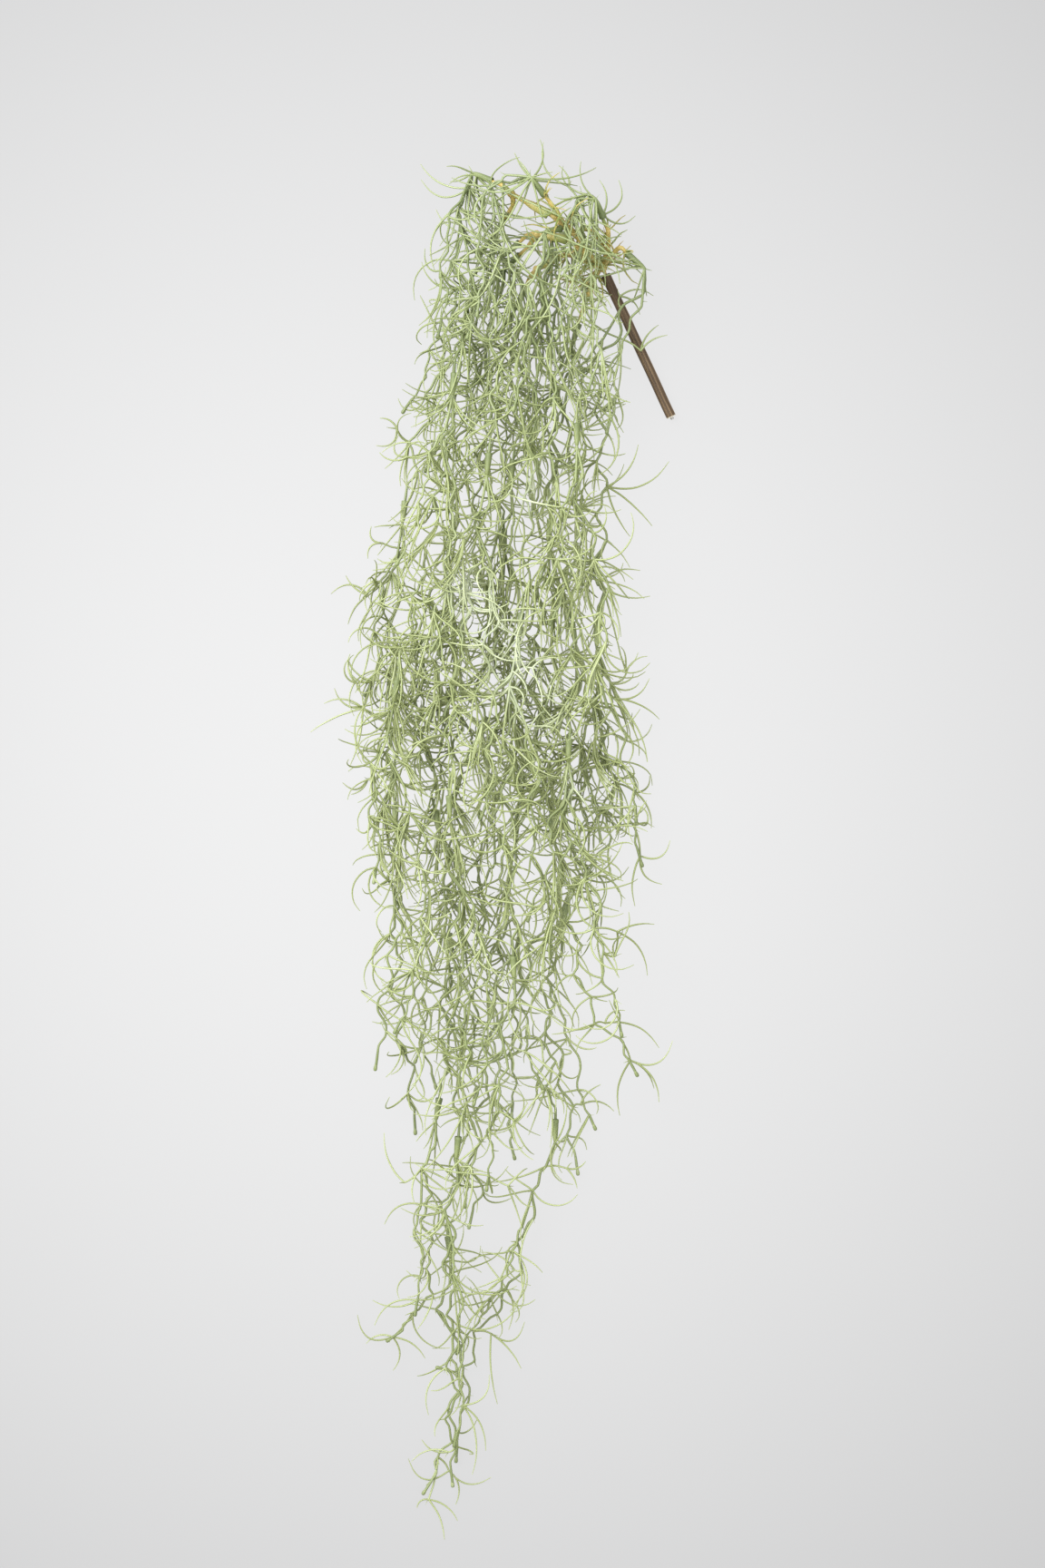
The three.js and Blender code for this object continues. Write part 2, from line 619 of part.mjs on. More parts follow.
function growWhorls(spray, rib, share) {
  for (const bend of rib.bends) {
    const tangent = directionTo(rib.points[rib.points.indexOf(bend) - 1], bend);
    const length = between(finger.length, spray.draw());
    if (spray.draw() < share) {
      growFinger(spray, bend, tangent, length);
    }
  }
}

function planSpray(chain, tier) {
  const index = chains.indexOf(chain);
  const name = `spray_${String(index + 1).padStart(2, '0')}_${tier + 1}`;
  const draw = makeDraw(index * 10 + tier + 1);
  const start = jointOn(chain, tier);
  const main = planMainRib(chain, tier, draw);
  const side = planSideRib(chain, tier, main, draw);
  take([start.at, along(start.at, start.direction, socket.length)], socket.mouth, name);
  for (const [rib, radius] of [[main, mainRib.radius], [side, sideRib.radius]]) {
    take([...rib.points, along(rib.end.at, rib.end.direction, rib.pegReach)], radius, name);
  }
  return { name, draw, start, main, side, stalks: [], fingers: [] };
}

function nearestBend([x, y]) {
  let nearest = { distance: Infinity };
  for (const spray of sprays) {
    for (const bend of [...spray.main.bends, ...spray.side.bends]) {
      const distance = Math.hypot(bend.x - x, bend.y - y);
      if (distance < nearest.distance) {
        nearest = { distance, bend, spray };
      }
    }
  }
  return nearest;
}

// A curve whose middle stands off the straight line by the bow, and by half the lift
function bowedPath(from, to, bow, lift, parts) {
  const middle = from.clone().lerp(to, 0.5).addScaledVector(sideOf(directionTo(from, to)), bow * 2);
  const path = new THREE.QuadraticBezierCurve3(from, middle.addScaledVector(up, lift), to).getPoints(parts);
  for (const spot of path) {
    spot.z = Math.max(spot.z, finger.radius);
  }
  return path;
}

// A twig grows from the kink nearest to its fork, on a stalk unless it is close by
function growTwig({ hub, tips }) {
  const { distance, bend, spray } = nearestBend(hub);
  if (distance < twig.shortestStalk) {
    tips.forEach((tip) => growStray(spray, bend, tip));
    return;
  }
  for (const lift of twig.lifts) {
    const fork = new THREE.Vector3(...hub, Math.max(twig.stalkRadius, bend.z * twig.forkHeight + lift / 2));
    const stalk = bowedPath(bend, fork, 1, lift / 2, 3);
    if (isClear(stalk, twig.stalkRadius, spray.name)) {
      take(stalk, twig.stalkRadius, spray.name);
      spray.stalks.push(stalk);
      tips.forEach((tip) => growStray(spray, stalk.at(-1), tip));
      return;
    }
  }
}

function growStray(spray, fork, [tipX, tipY, bow]) {
  for (const lift of twig.lifts) {
    const tip = new THREE.Vector3(tipX, tipY, Math.max(finger.radius, fork.z * twig.tipHeight + lift / 2));
    const whole = bowedPath(fork, tip, bow, lift, finger.parts);
    const path = coarse(whole, pathLength(whole));
    if (isClear(path, finger.radius, spray.name)) {
      take(path, finger.radius, spray.name);
      spray.fingers.push(path);
      return;
    }
  }
}

// A rib runs on into its peg, and lies level so that its flat side can rest on the table
function ribSolid(rib, radius) {
  const { at, direction } = rib.end;
  const points = [...rib.points, along(at, direction, -peg.neck), along(at, direction, rib.pegReach)];
  const radii = points.map((_, i) => (i < rib.points.length ? radius : peg.radius));
  radii[rib.points.length - 1] = peg.neckRadius;
  points.forEach((spot, i) => spot.setZ(Math.max(spot.z, radii[i] / 2)));
  return rod(points, radii, 3, true);
}

function spraySolid(spray) {
  return fused([
    socketSolid(socket, spray.start.at, spray.start.direction),
    ribSolid(spray.main, mainRib.radius),
    ribSolid(spray.side, sideRib.radius),
    ...spray.stalks.map((path) => rod(path, path.map(() => twig.stalkRadius), 3)),
    ...spray.fingers.map(thorn),
  ]);
}

// The whole bunch
const finishes = {
  moss: new THREE.MeshStandardMaterial({ color: '#8a9a5b', roughness: 0.55, metalness: 0 }),
  arms: new THREE.MeshStandardMaterial({ color: '#bf9a44', roughness: 0.5, metalness: 0 }),
  stem: new THREE.MeshStandardMaterial({ color: '#5b4a34', roughness: 0.6, metalness: 0 }),
  steel: new THREE.MeshStandardMaterial({ color: '#9a9a98', roughness: 0.35, metalness: 1 }),
};

const bunch = new THREE.Group();
bunch.name = 'spanish_moss_bunch';

function addNode(name, solid, finish) {
  const mesh = new THREE.Mesh(toGeometry(solid), finishes[finish].clone());
  mesh.name = name;
  bunch.add(mesh);
}

addNode('stem_sheath', stemSheath(), 'stem');
addNode('stem_core_wire', stemWire(), 'steel');
addNode('branch_frame', branchFrame(), 'arms');
for (const fork of forks) {
  addNode(fork.name, forkPiece(fork), 'arms');
}

// Sprays share a chain's length evenly, but the joints of each chain are moved along it by their own step
function planChain(chain, index) {
  chain.route = routeOf(chain);
  const length = pathLength(chain.route);
  chain.tiers = Math.round(length / moduleLength);
  const turn = ((index * 5) % chains.length) / (chains.length - 1);
  const moved = jointStagger * (turn * 2 - 1);
  chain.joints = [0];
  for (let tier = 1; tier < chain.tiers; tier += 1) {
    chain.joints.push((tier + moved) * length / chain.tiers);
  }
  chain.joints.push(length);
}

const sprays = [];
chains.forEach(planChain);
for (const chain of chains) {
  for (let tier = 0; tier < chain.tiers; tier += 1) {
    sprays.push(planSpray(chain, tier));
  }
}
twigs.forEach(growTwig);
for (const spray of sprays) {
  growWhorls(spray, spray.main, finger.mainShare);
  growWhorls(spray, spray.side, finger.sideShare);
  addNode(spray.name, spraySolid(spray), 'moss');
}

export default bunch;
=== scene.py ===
import bpy
import bmesh
import functools
import itertools
import math
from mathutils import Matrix, Quaternion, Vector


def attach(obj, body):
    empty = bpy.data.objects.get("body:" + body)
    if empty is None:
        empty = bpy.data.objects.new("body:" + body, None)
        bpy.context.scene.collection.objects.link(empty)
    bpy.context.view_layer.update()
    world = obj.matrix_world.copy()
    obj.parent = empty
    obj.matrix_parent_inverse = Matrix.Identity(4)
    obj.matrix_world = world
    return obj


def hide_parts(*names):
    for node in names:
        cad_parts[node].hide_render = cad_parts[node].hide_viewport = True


# Artificial spanish moss bunch: strings of plug-together sprays, lying flat, stem end up +Y.
# Lengths are millimetres until a piece is made; Blender gets metres.

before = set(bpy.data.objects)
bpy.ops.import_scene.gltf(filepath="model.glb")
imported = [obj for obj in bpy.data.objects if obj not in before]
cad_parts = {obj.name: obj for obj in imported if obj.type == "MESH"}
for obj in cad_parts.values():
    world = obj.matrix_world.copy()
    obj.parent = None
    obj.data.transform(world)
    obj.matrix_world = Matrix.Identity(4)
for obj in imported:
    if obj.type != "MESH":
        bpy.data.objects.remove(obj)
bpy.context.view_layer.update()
metre = 0.001
print("moss bunch: frame loaded,", len(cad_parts), "nodes")

# The camera looks straight down on the lying bunch
view = {
    "centre": (18.7, 35.2, 26),  # what the middle of the picture looks at
    "height": 2600,
    "pictureHeight": 921,  # how much of the table the picture's long side covers
    "sensor": 36,
    "clipEnd": 20,  # metres
}


def newObject(name, data):
    thing = bpy.data.objects.new(name, data)
    bpy.context.scene.collection.objects.link(thing)
    return thing


cameraData = bpy.data.cameras.new("lookDown")
cameraData.sensor_width = view["sensor"]
cameraData.lens = view["sensor"] * view["height"] / view["pictureHeight"]
cameraData.clip_end = view["clipEnd"]
camera = newObject("lookDown", cameraData)
camera.location = (Vector(view["centre"]) + Vector((0, 0, view["height"]))) * metre
bpy.context.scene.camera = camera


# Sizes, the same as the solid part's. A spray has a main rib from its socket to its peg, and a side
# rib beside it; their kinks swing to both sides of the chain's route
spray = {
    "moduleLength": 182,  # from socket mouth to the next socket mouth
    "jointStagger": 0.24,  # most that a chain's joints are moved along it, as a share of a spray
    "clearGap": 0.5,  # between two sprays
    "tableGap": 0.15,  # under the sockets of the bottom layer
    "bendStep": 16,  # from one kink to the next
    "flatBelow": 2.5,  # height of a route that counts as lying on the table
    "seedsPerChain": 10,
}
mainRib = {
    "radius": 1.1,
    "swing": (2, 4.4),
    "toss": 4,  # range of the kinks' heights in the upper layers
    "sunk": 3,  # start inside the socket's foot
    "run": 1,  # from the foot to the first point outside it
    "taper": 4,  # from the last kink's end to the neck of the peg
    "straightEnds": 12,
}
sideRib = {
    "radius": 0.95,
    "from": 3,  # point of the main rib where it starts
    "kinks": 99,  # at most
    "shift": 0.4,  # of its kinks along the route, in steps of the main rib
    "swing": (1.6, 3.6),
    "offset": 15.5,  # beside the main rib
    "way": 1,  # to the layer's own side
    "ramp": (0.45, 0.85),  # share of the offset at its first kinks
    "fullReach": 62,  # half width of heap that gives the full offset
    "leastOffset": 0.35,
    "leastSwing": 0.5,
    "lift": 6,  # over the main rib, full after so many kinks and where the heap is so high
    "liftKinks": 3,
    "fullHeap": 40,
    "run": 2,
}
finger = {
    "radius": 0.65,  # at the root
    "length": (19, 37),
    "mainShare": 0.5,  # chance that a kink carries one of the solid part's fingers
    "sideShare": 0.3,
    "tries": 14,
    "parts": 12,
    "shortBelow": 33,
    "shortStep": 6,  # the solid part keeps every sixth point of a short finger
    "longStep": 4,  # and every fourth of a long one
    "lean": (0.6, 1.35),  # radians from the rib to the start of the finger
    "hook": (0.7, 2.1),  # radians that it turns through on its way
    "wavedShare": 0.35,
    "waveBack": 1.5,  # how strongly a waved finger turns back
    "level": 0,
}
# The sides and the sleeve colour's shares at mouth and foot are for the looks alone
socket = {"length": 13, "mouth": 2.15, "foot": 1.15, "bore": 1.4, "depth": 7.5,
          "sides": 14, "sleeve": (0.6, 0)}
forkSocket = {"length": 15, "mouth": 3.1, "foot": 1.7, "bore": 2, "depth": 10,
              "sides": 20, "sleeve": (1, 0.5)}
socketRun = 4
peg = {"radius": 0.95, "neck": 3, "reach": 6.9, "freeReach": 5}
forkPeg = {"radius": 1.3, "reach": 9.4}
arm = {"radius": 1.6, "forkRadius": 1.7, "thinRadius": 1.3, "bareRadius": 1.05, "taper": 0.2}
knotRadius = 3.7
knuckleRadius = 2.5
forkFoot = 2
twig = {
    "stalkRadius": 0.8,
    "stalkBow": 1,
    "shortestStalk": 4,
    "forkHeight": 0.85,
    "tipHeight": 0.7,
    "lifts": (0, 4, -4, 8, -8, 13, 18, -14),  # tried in turn until the twig is clear
    "stalkParts": 3,
}
stem = {
    "cutEnd": (107.0, 252.6, 3.4),
    "head": (67.7, 335.8, 14),
    "radius": 2.85,
    "lobe": 0.25,
    "lobes": 7,
    "bore": 1.35,
    "wireRadius": 1,
    "wireProud": 1.5,
    "rootReach": 12,
}

# The heap seen from above: y, left edge, right edge, height
heap = (
    (415, -12, 48, 50), (389, -26, 60, 56), (362, -32, 80, 57), (336, -35, 86, 56),
    (282, -47, 80, 56), (229, -59, 75, 57), (176, -68, 79, 58), (123, -79, 87, 60),
    (69, -84, 90, 60), (16, -79, 90, 56), (-37, -73, 85, 52), (-91, -69, 74, 46),
    (-144, -58, 62, 38), (-197, -55, 52, 30), (-251, -50, 28, 22), (-304, -46, 12, 15),
    (-357, -44, 0, 11), (-413, -34, -16, 7),
)
heapHeadroom = 8
laneMargin = 18
laneStations = (290, 225, 160, 95, 30, -35, -95, -140)
ripple = {"height": 3.5, "length": 38, "laneTurn": 4, "fullHeap": 58}
cornerCut = 0.25  # share of each step that rounding takes off
routeRounds = 3
jointOrder = 5  # keeps the joints of neighbouring chains apart
layers = {
    "bottom": {"share": 0, "sideways": 1, "sway": 7, "swayLength": 52, "swayTurn": 0.4},
    "middle": {"share": 0.45, "sideways": -1, "sway": 9, "swayLength": 43, "swayTurn": 2.6},
    "top": {"share": 0.85, "sideways": 1, "sway": 8, "swayLength": 60, "swayTurn": 4.4},
}

# Chains of sprays: the arm that carries it, lane across the heap, layer, last lane station, the way
# into the lane, and its tail
chains = (
    ("upperLeft", -0.85, "top", -60, ((-16, 372, 46), (-21, 348, 47)),
     ((-62, -95), (-67, -128))),
    ("upperTop", -0.33, "top", -120, ((22, 391, 56), (6, 388, 56), (-1, 368, 52), (1, 335, 48)),
     ((-19, -176), (-23, -200), (-24, -225), (-27, -250), (-22, -280), (-23, -304), (-22, -330),
      (-25, -357), (-23, -376))),
    ("upperRight", 0.18, "top", -95, ((33, 344, 52), (29, 322, 49)),
     ((-3, -140), (-12, -170), (-7, -200), (-12, -222))),
    ("rightHigh", 0.7, "top", -35, ((56, 384, 47), (50, 374, 50), (51, 345, 49)),
     ((56, -92), (68, -112), (79, -123), (84, -132))),
    ("upperDown", -0.58, "middle", -140, ((-3, 345, 27), (-10, 322, 25)),
     ((-38, -192), (-40, -230), (-33, -248), (-37, -266), (-45, -283), (-58, -292))),
    ("middleLeft", -0.05, "middle", -95, ((13, 338, 27), (13, 318, 25)),
     ((2, -150),)),
    ("thinLeft", 0.45, "middle", -95, ((33, 350, 27), (35, 325, 25)),
     ((38, -149), (38, -176), (28, -192), (28, -210), (19, -228), (20, -243), (13, -254),
      (13, -265), (-2, -279), (-8, -292), (-11, -306), (-19, -313), (-28, -311))),
    ("rightLoop", 1, "middle", 30, ((85, 322, 26), (75, 302, 25)),
     ((82, 12), (88, -9))),
    ("middleDown", -1, "bottom", -140, ((1, 336, 14), (-12, 318, 4)),
     ((-45, -168),)),
    ("lowerLeft", -0.45, "bottom", -140, ((12, 310, 4),),
     ((-15, -176), (-22, -194), (-27, -219), (-24, -246), (-31, -271), (-25, -290), (-20, -308),
      (-19, -326), (-24, -345), (-29, -368), (-38, -382))),
    ("lowerRight", 0.1, "bottom", -140, ((31, 308, 4),),
     ((13, -183),)),
    ("lowest", 0.68, "bottom", -95, (),
     ((45, -152), (49, -178), (51, -192))),
)

# Arms as points from the stem head to the start of their peg
head = (65.5, 340.6, 15)
arms = {
    "upperRight": ((51, 354.5, 38), (46, 360, 44), (41, 358.5, 49)),
    "upperTop": ((43.5, 360.8, 43.5), (37.5, 370, 49), (31.4, 377.4, 54)),
    "rightHigh": (head, (69, 350, 24), (68.5, 359, 34), (65.5, 366, 41)),
    "thinLeft": ((67, 348, 21), (62, 358, 25), (55, 361, 26.5), (49, 359.5, 26.5)),
    "rightLoop": (head, (71, 346, 22), (76, 350, 27), (80, 346.5, 28)),
    "lowest": (head, (60, 331, 9), (55, 318, 3.4), (52, 308, 2.9)),
}
forks = (
    ("fork_upper", (head, (61, 343.5, 25), (51, 354.5, 38), (38.5, 364.2, 46.5), (34, 367, 48)),
     (12, 379, 48),
     {"upperLeft": ((7, 384, 46), (1, 387, 43)), "upperDown": ((13, 373, 43), (8.5, 366.5, 36))}),
    ("fork_middle", (head, (59, 343, 22), (51, 350, 31), (45, 354, 34)), (27, 357.5, 33),
     {"middleLeft": ((22, 357, 31.5), (17, 353, 29)), "middleDown": ((23, 352, 27), (17, 346.5, 22))}),
    ("fork_lower", (head, (57, 343, 13), (48, 347.5, 13), (41, 347, 13)), (27, 339.5, 11.5),
     {"lowerLeft": ((23, 334, 9.5), (20, 328, 7)), "lowerRight": ((29, 334, 9.5), (30, 327, 7))}),
)
bareArm = ((60, 335.5, 13), (53, 332, 10), (46.5, 332, 9))

# Twigs that stand out of the heap: where each one forks, and its tips with the bow of the way there
twigs = (
    ((-9, 383), ((-41, 399, 5), (-41, 390, 8), (-13, 398, -2))),
    ((-18, 362), ((-34, 356, -5), (-30, 338, 3))),
    ((24, 388), ((29, 413, -4), (14, 405, 1))),
    ((46, 384), ((31, 412, 7), (40, 398, -2))),
    ((66, 368), ((75, 390, -6), (64, 390, -3), (85, 369, -5))),
    ((76, 322), ((96, 323, 4), (88, 312, 3))),
    ((88, 290), ((99, 306, 2), (104, 300, 2))),
    ((66, 255), ((79, 259, 2), (75, 247, 3))),
    ((70, 213), ((105, 225, -7), (87, 235, -4), (95, 187, 2), (82, 181, -2))),
    ((-56, 246), ((-68, 236, 5), (-66, 252, -2))),
    ((-64, 178), ((-73, 169, -4), (-71, 188, 4))),
    ((64, 153), ((88, 161, 4), (94, 146, -4))),
    ((-73, 147), ((-95, 148, -6), (-86, 159, 2), (-85, 130, -2))),
    ((-76, 80), ((-107, 66, -2), (-99, 83, -4), (-93, 92, 4), (-84, 45, 2))),
    ((72, 85), ((93, 97, -5), (99, 73, 3), (92, 48, 4))),
    ((-73, 38), ((-88, 36, 5), (-83, 29, 2))),
    ((-70, 10), ((-79, 9, 3),)),
    ((86, 30), ((95, 9, 3), (94, 40, -3))),
    ((88, -7), ((106, 2, -6), (101, -24, -5), (85, -37, -3))),
    ((74, -51), ((96, -47, 2), (92, -77, 5), (72, -66, 1))),
    ((67, -105), ((99, -120, 6), (79, -98, 3))),
    ((82, -127), ((107, -116, -8), (99, -152, 5), (96, -144, 3), (76, -160, -4))),
    ((53, -155), ((73, -159, 4), (65, -143, 2))),
    ((-41, -209), ((-63, -225, -5),)),
    ((-51, -200), ((-63, -171, 4),)),
    ((45, -192), ((51, -204, 1), (56, -188, -2))),
    ((14, -252), ((-11, -264, 1), (-6, -242, -3))),
    ((-41, -270), ((-70, -270, 4), (-69, -285, -6))),
    ((-58, -292), ((-79, -279, 8), (-74, -296, -3), (-58, -312, 4), (-39, -305, 3))),
    ((0, -290), ((20, -283, -8), (18, -311, 2), (4, -332, -2))),
    ((-28, -311), ((-37, -338, -6), (-18, -322, 2))),
    ((-15, -335), ((-1, -314, -6), (-3, -359, 4), (-11, -373, 5))),
    ((-25, -360), ((-41, -353, 3), (-47, -366, -4))),
    ((-25, -372), ((-49, -365, 9), (0, -376, -6), (-21, -392, 4))),
    ((-37, -389), ((-27.5, -413, 2), (-20, -402, 3), (-44, -394, -2))),
)


# Seeded draws between 0 and 1, so that every run grows the same bunch; the first few are left unused
dice = {"modulus": 2147483647, "factor": 16807, "seedFactor": 7919, "seedStart": 104729, "unused": 3}


def makeDraw(seed):
    state = (seed * dice["seedFactor"] + dice["seedStart"]) % dice["modulus"]

    def draw():
        nonlocal state
        state = state * dice["factor"] % dice["modulus"]
        return state / dice["modulus"]

    for _ in range(dice["unused"]):
        draw()
    return draw


# Points and paths
up = Vector((0, 0, 1))
upright = 0.9  # z of a direction that counts as upright


def along(start, direction, distance):
    return start + direction * distance


def directionTo(start, end):
    return (end - start).normalized()


def sideOf(direction):
    return Vector((-direction.y, direction.x, 0)).normalized()


def between(ends, share):
    return ends[0] + (ends[1] - ends[0]) * share


def lifted(spot, lowest):
    return Vector((spot.x, spot.y, max(spot.z, lowest)))


# Left edge, right edge and height of the heap at y
def heapAt(y):
    row = next((i for i, station in enumerate(heap) if station[0] < y), len(heap) - 1)
    before, after = heap[max(row, 1) - 1], heap[max(row, 1)]
    share = min(max((before[0] - y) / (before[0] - after[0]), 0), 1)
    return [a + (b - a) * share for a, b in zip(before[1:], after[1:])]


def roundCorners(points, rounds):
    if rounds == 0:
        return points
    result = [points[0]]
    for a, b in zip(points, points[1:]):
        result += [a.lerp(b, cornerCut), a.lerp(b, 1 - cornerCut)]
    return roundCorners(result + [points[-1]], rounds - 1)


def pathLength(points):
    return sum((b - a).length for a, b in zip(points, points[1:]))


# The spot so far along a path, and the way that the path takes there
def placeOn(points, distance):
    for i, (a, b) in enumerate(zip(points, points[1:])):
        step = (b - a).length
        if distance <= step or i == len(points) - 2:
            return along(a, directionTo(a, b), distance), directionTo(a, b)
        distance -= step


# What is taken already: samples of every strand, with their radius and owner, in a grid of cells
cell = 8
sampleStep = 2
taken = {}


def samplesOf(points):
    for a, b in zip(points, points[1:]):
        count = max(1, math.ceil((b - a).length / sampleStep))
        for k in range(count):
            yield a.lerp(b, k / count)
    yield points[-1]


def cellOf(spot):
    return tuple(math.floor(place / cell) for place in spot)


def take(points, radius, owner):
    for spot in samplesOf(points):
        taken.setdefault(cellOf(spot), []).append((spot, radius, owner))


# Whether a path keeps its gap from what others have taken, or from all but the sprays
def isClear(points, radius, owner, ignoreSprays=False):
    for spot in samplesOf(points):
        for near in itertools.product(*(range(place - 1, place + 2) for place in cellOf(spot))):
            for other, otherRadius, otherOwner in taken.get(near, ()):
                if otherOwner == owner or ignoreSprays and otherOwner.startswith("spray"):
                    continue
                reach = radius + otherRadius + spray["clearGap"]
                if (spot - other).length_squared < reach * reach + sampleStep * sampleStep / 2:
                    return False
    return True


# Arms and forks, where the chains start
def endOf(points):
    a, b = Vector(points[-2]), Vector(points[-1])
    return b, directionTo(a, b)


armEnds = {name: endOf(points) for name, points in arms.items()}
for *_, ends in forks:
    armEnds.update({name: endOf(points) for name, points in ends.items()})


# An arm as (point, radius) pairs; it thins towards its end and carries a peg there
def armPath(points, radius, owner, end=None, endPeg=peg):
    path = [Vector(spot) for spot in points]
    radii = [radius * (1 - arm["taper"] * i / (len(path) - 1)) for i in range(len(path))]
    if end:
        radii[-1:] = [endPeg["radius"]] * 2
        path.append(along(end[0], end[1], endPeg["reach"]))
    take(path, radius, owner)
    return list(zip(path, radii))


def planFrame():
    owner = "branch_frame"
    paths = [armPath((head,) + bareArm, arm["bareRadius"], owner)]
    take([Vector(head)], knotRadius, owner)
    for name, points in arms.items():
        radius = arm["thinRadius" if name == "thinLeft" else "radius"]
        paths.append(armPath(points, radius, owner, armEnds[name]))
    for _, points, junction, _ in forks:
        mouth = Vector(points[-1])
        end = (mouth, directionTo(mouth, Vector(junction)))
        paths.append(armPath(points, arm["forkRadius"], owner, end, forkPeg))
    return paths


def planFork(name, points, junction, ends):
    mouth = Vector(points[-1])
    direction = directionTo(mouth, Vector(junction))
    foot = along(mouth, direction, forkSocket["length"] - forkFoot)
    paths = [armPath((foot, junction), arm["radius"], name)]
    take([mouth, along(mouth, direction, forkSocket["length"])], forkSocket["mouth"], name)
    for carried, branch in ends.items():
        paths.append(armPath((junction,) + branch, arm["radius"], name, armEnds[carried]))
    return {"name": name, "mouth": mouth, "direction": direction, "junction": Vector(junction),
            "paths": paths}


# Routes of the chains, and the sprays on them
def laneAt(lane, layerName, y):
    left, right, height = heapAt(y)
    layer = layers[layerName]
    swing = layer["sway"] * math.sin(y / layer["swayLength"] + layer["swayTurn"])
    x = (left + right) / 2 + lane * ((right - left) / 2 - laneMargin) + swing
    wave = math.sin(y / ripple["length"] + lane * ripple["laneTurn"])
    rise = ripple["height"] * wave if layer["share"] else 0
    return Vector((x, y, layer["share"] * height + rise * height / ripple["fullHeap"]))


def routeOf(armName, lane, layerName, until, rise, tail):
    at, direction = armEnds[armName]
    share = layers[layerName]["share"]
    points = [along(at, direction, socket["length"] + socketRun)] + [Vector(spot) for spot in rise]
    points += [laneAt(lane, layerName, y) for y in laneStations if y >= until]
    points += [Vector((x, y, share * heapAt(y)[2])) for x, y in tail]
    return [at, along(at, direction, socket["length"])] + roundCorners(points, routeRounds)


def jointOn(chain, tier):
    at, direction = placeOn(chain["route"], chain["joints"][tier])
    if chain["layer"] == "bottom" and tier > 0:
        at = lifted(at, socket["mouth"] + spray["tableGap"])
        direction = Vector((direction.x, direction.y, 0)).normalized()
    return at, direction


# Where a spray's kinks start on the route, how many there are, and their step
def kinksOf(chain, tier):
    start = chain["joints"][tier] + socket["length"]
    free = chain["joints"][tier + 1] - start - mainRib["straightEnds"]
    count = math.floor(free / spray["bendStep"] + 0.5)
    return start, count, free / (count + 0.5)  # the last kink stands half a step before the end


# Low sprays of the bottom layer lie on the table, and all others hang over their route by the lift
def kinkBeside(chain, spot, direction, sideways, radius, lift):
    kink = along(spot, sideOf(direction), sideways)
    isLow = chain["layer"] == "bottom" and spot.z < spray["flatBelow"]
    kink.z = radius / 2 + lift if isLow else max(spot.z + lift, radius / 2)
    return kink


def planMainRib(chain, tier, draw):
    at, direction = jointOn(chain, tier)
    end = jointOn(chain, tier + 1)
    start, count, step = kinksOf(chain, tier)
    points = [along(at, direction, socket["length"] - mainRib["sunk"]),
              along(at, direction, socket["length"] + mainRib["run"])]
    for i in range(1, count + 1):
        spot, way = placeOn(chain["route"], start + i * step)
        swing = (1 if i % 2 else -1) * between(mainRib["swing"], draw())
        lift = 0 if chain["layer"] == "bottom" else (draw() - 0.5) * mainRib["toss"]
        points.append(kinkBeside(chain, spot, way, swing, mainRib["radius"], lift))
    points.append(along(end[0], end[1], -peg["neck"] - mainRib["taper"]))
    isLast = tier == len(chain["joints"]) - 2
    reach = peg["freeReach" if isLast else "reach"]
    return {"points": points, "first": 2, "end": end, "reach": reach, "isFree": isLast,
            "radius": mainRib["radius"], "bends": points[2:-1]}


def planSideRib(chain, tier, main, draw, form):
    start, count, step = kinksOf(chain, tier)
    sideways = form["way"] * layers[chain["layer"]]["sideways"]
    lift = form["lift"] if tier % 2 or chain["layer"] != "bottom" else 0
    points = [main["points"][form["from"]]]
    for i in range(form["from"], min(count, form["from"] + form["kinks"])):
        spot, way = placeOn(chain["route"], start + (i + form["shift"]) * step)
        left, right, height = heapAt(spot.y)
        room = min(1, ((right - left) / 2 - laneMargin) / form["fullReach"])
        ramp = form["ramp"][i - form["from"]] if i - form["from"] < len(form["ramp"]) else 1
        offset = form["offset"] * ramp * max(room, form["leastOffset"]) * sideways
        swing = (1 if i % 2 else -1) * between(form["swing"], draw()) * max(room, form["leastSwing"])
        risen = min(1, (i - form["from"] + 1) / form["liftKinks"])
        rise = lift * risen * min(1, height / form["fullHeap"])
        points.append(kinkBeside(chain, spot, way, offset + swing, form["radius"], rise))
    direction = directionTo(points[-2], points[-1])
    end = (along(points[-1], direction, peg["neck"] + form["run"]), direction)
    return {"points": points, "first": 1, "end": end, "reach": peg["freeReach"], "isFree": True,
            "radius": form["radius"], "bends": points[1:]}


def takeRib(rib, owner):
    take(rib["points"] + [along(*rib["end"], rib["reach"])], rib["radius"], owner)


def planSpray(chain, tier):
    name = f"spray_{chain['number']:02d}_{tier + 1}"
    draw = makeDraw((chain["number"] - 1) * spray["seedsPerChain"] + tier + 1)
    start = jointOn(chain, tier)
    main = planMainRib(chain, tier, draw)
    side = planSideRib(chain, tier, main, draw, sideRib)
    take([start[0], along(*start, socket["length"])], socket["mouth"], name)
    takeRib(main, name)
    takeRib(side, name)
    return {"name": name, "draw": draw, "start": start, "chain": chain, "tier": tier,
            "ribs": [main, side], "stalks": [], "fingers": [], "hubs": []}


# Fingers
def fingerPath(root, direction, length, hook, sweep, isWaved):
    across = up if abs(direction.z) < upright else Vector((1, 0, 0))
    bendTo = Quaternion(direction, sweep) @ direction.cross(across).normalized()
    path = [lifted(root, finger["radius"])]
    for i in range(finger["parts"]):
        share = (i + 0.5) / finger["parts"]
        turn = hook * (share - finger["waveBack"] * share * share if isWaved else share)
        step = direction * math.cos(turn) + bendTo * math.sin(turn)
        path.append(lifted(along(path[-1], step, length / finger["parts"]), finger["radius"]))
    return path


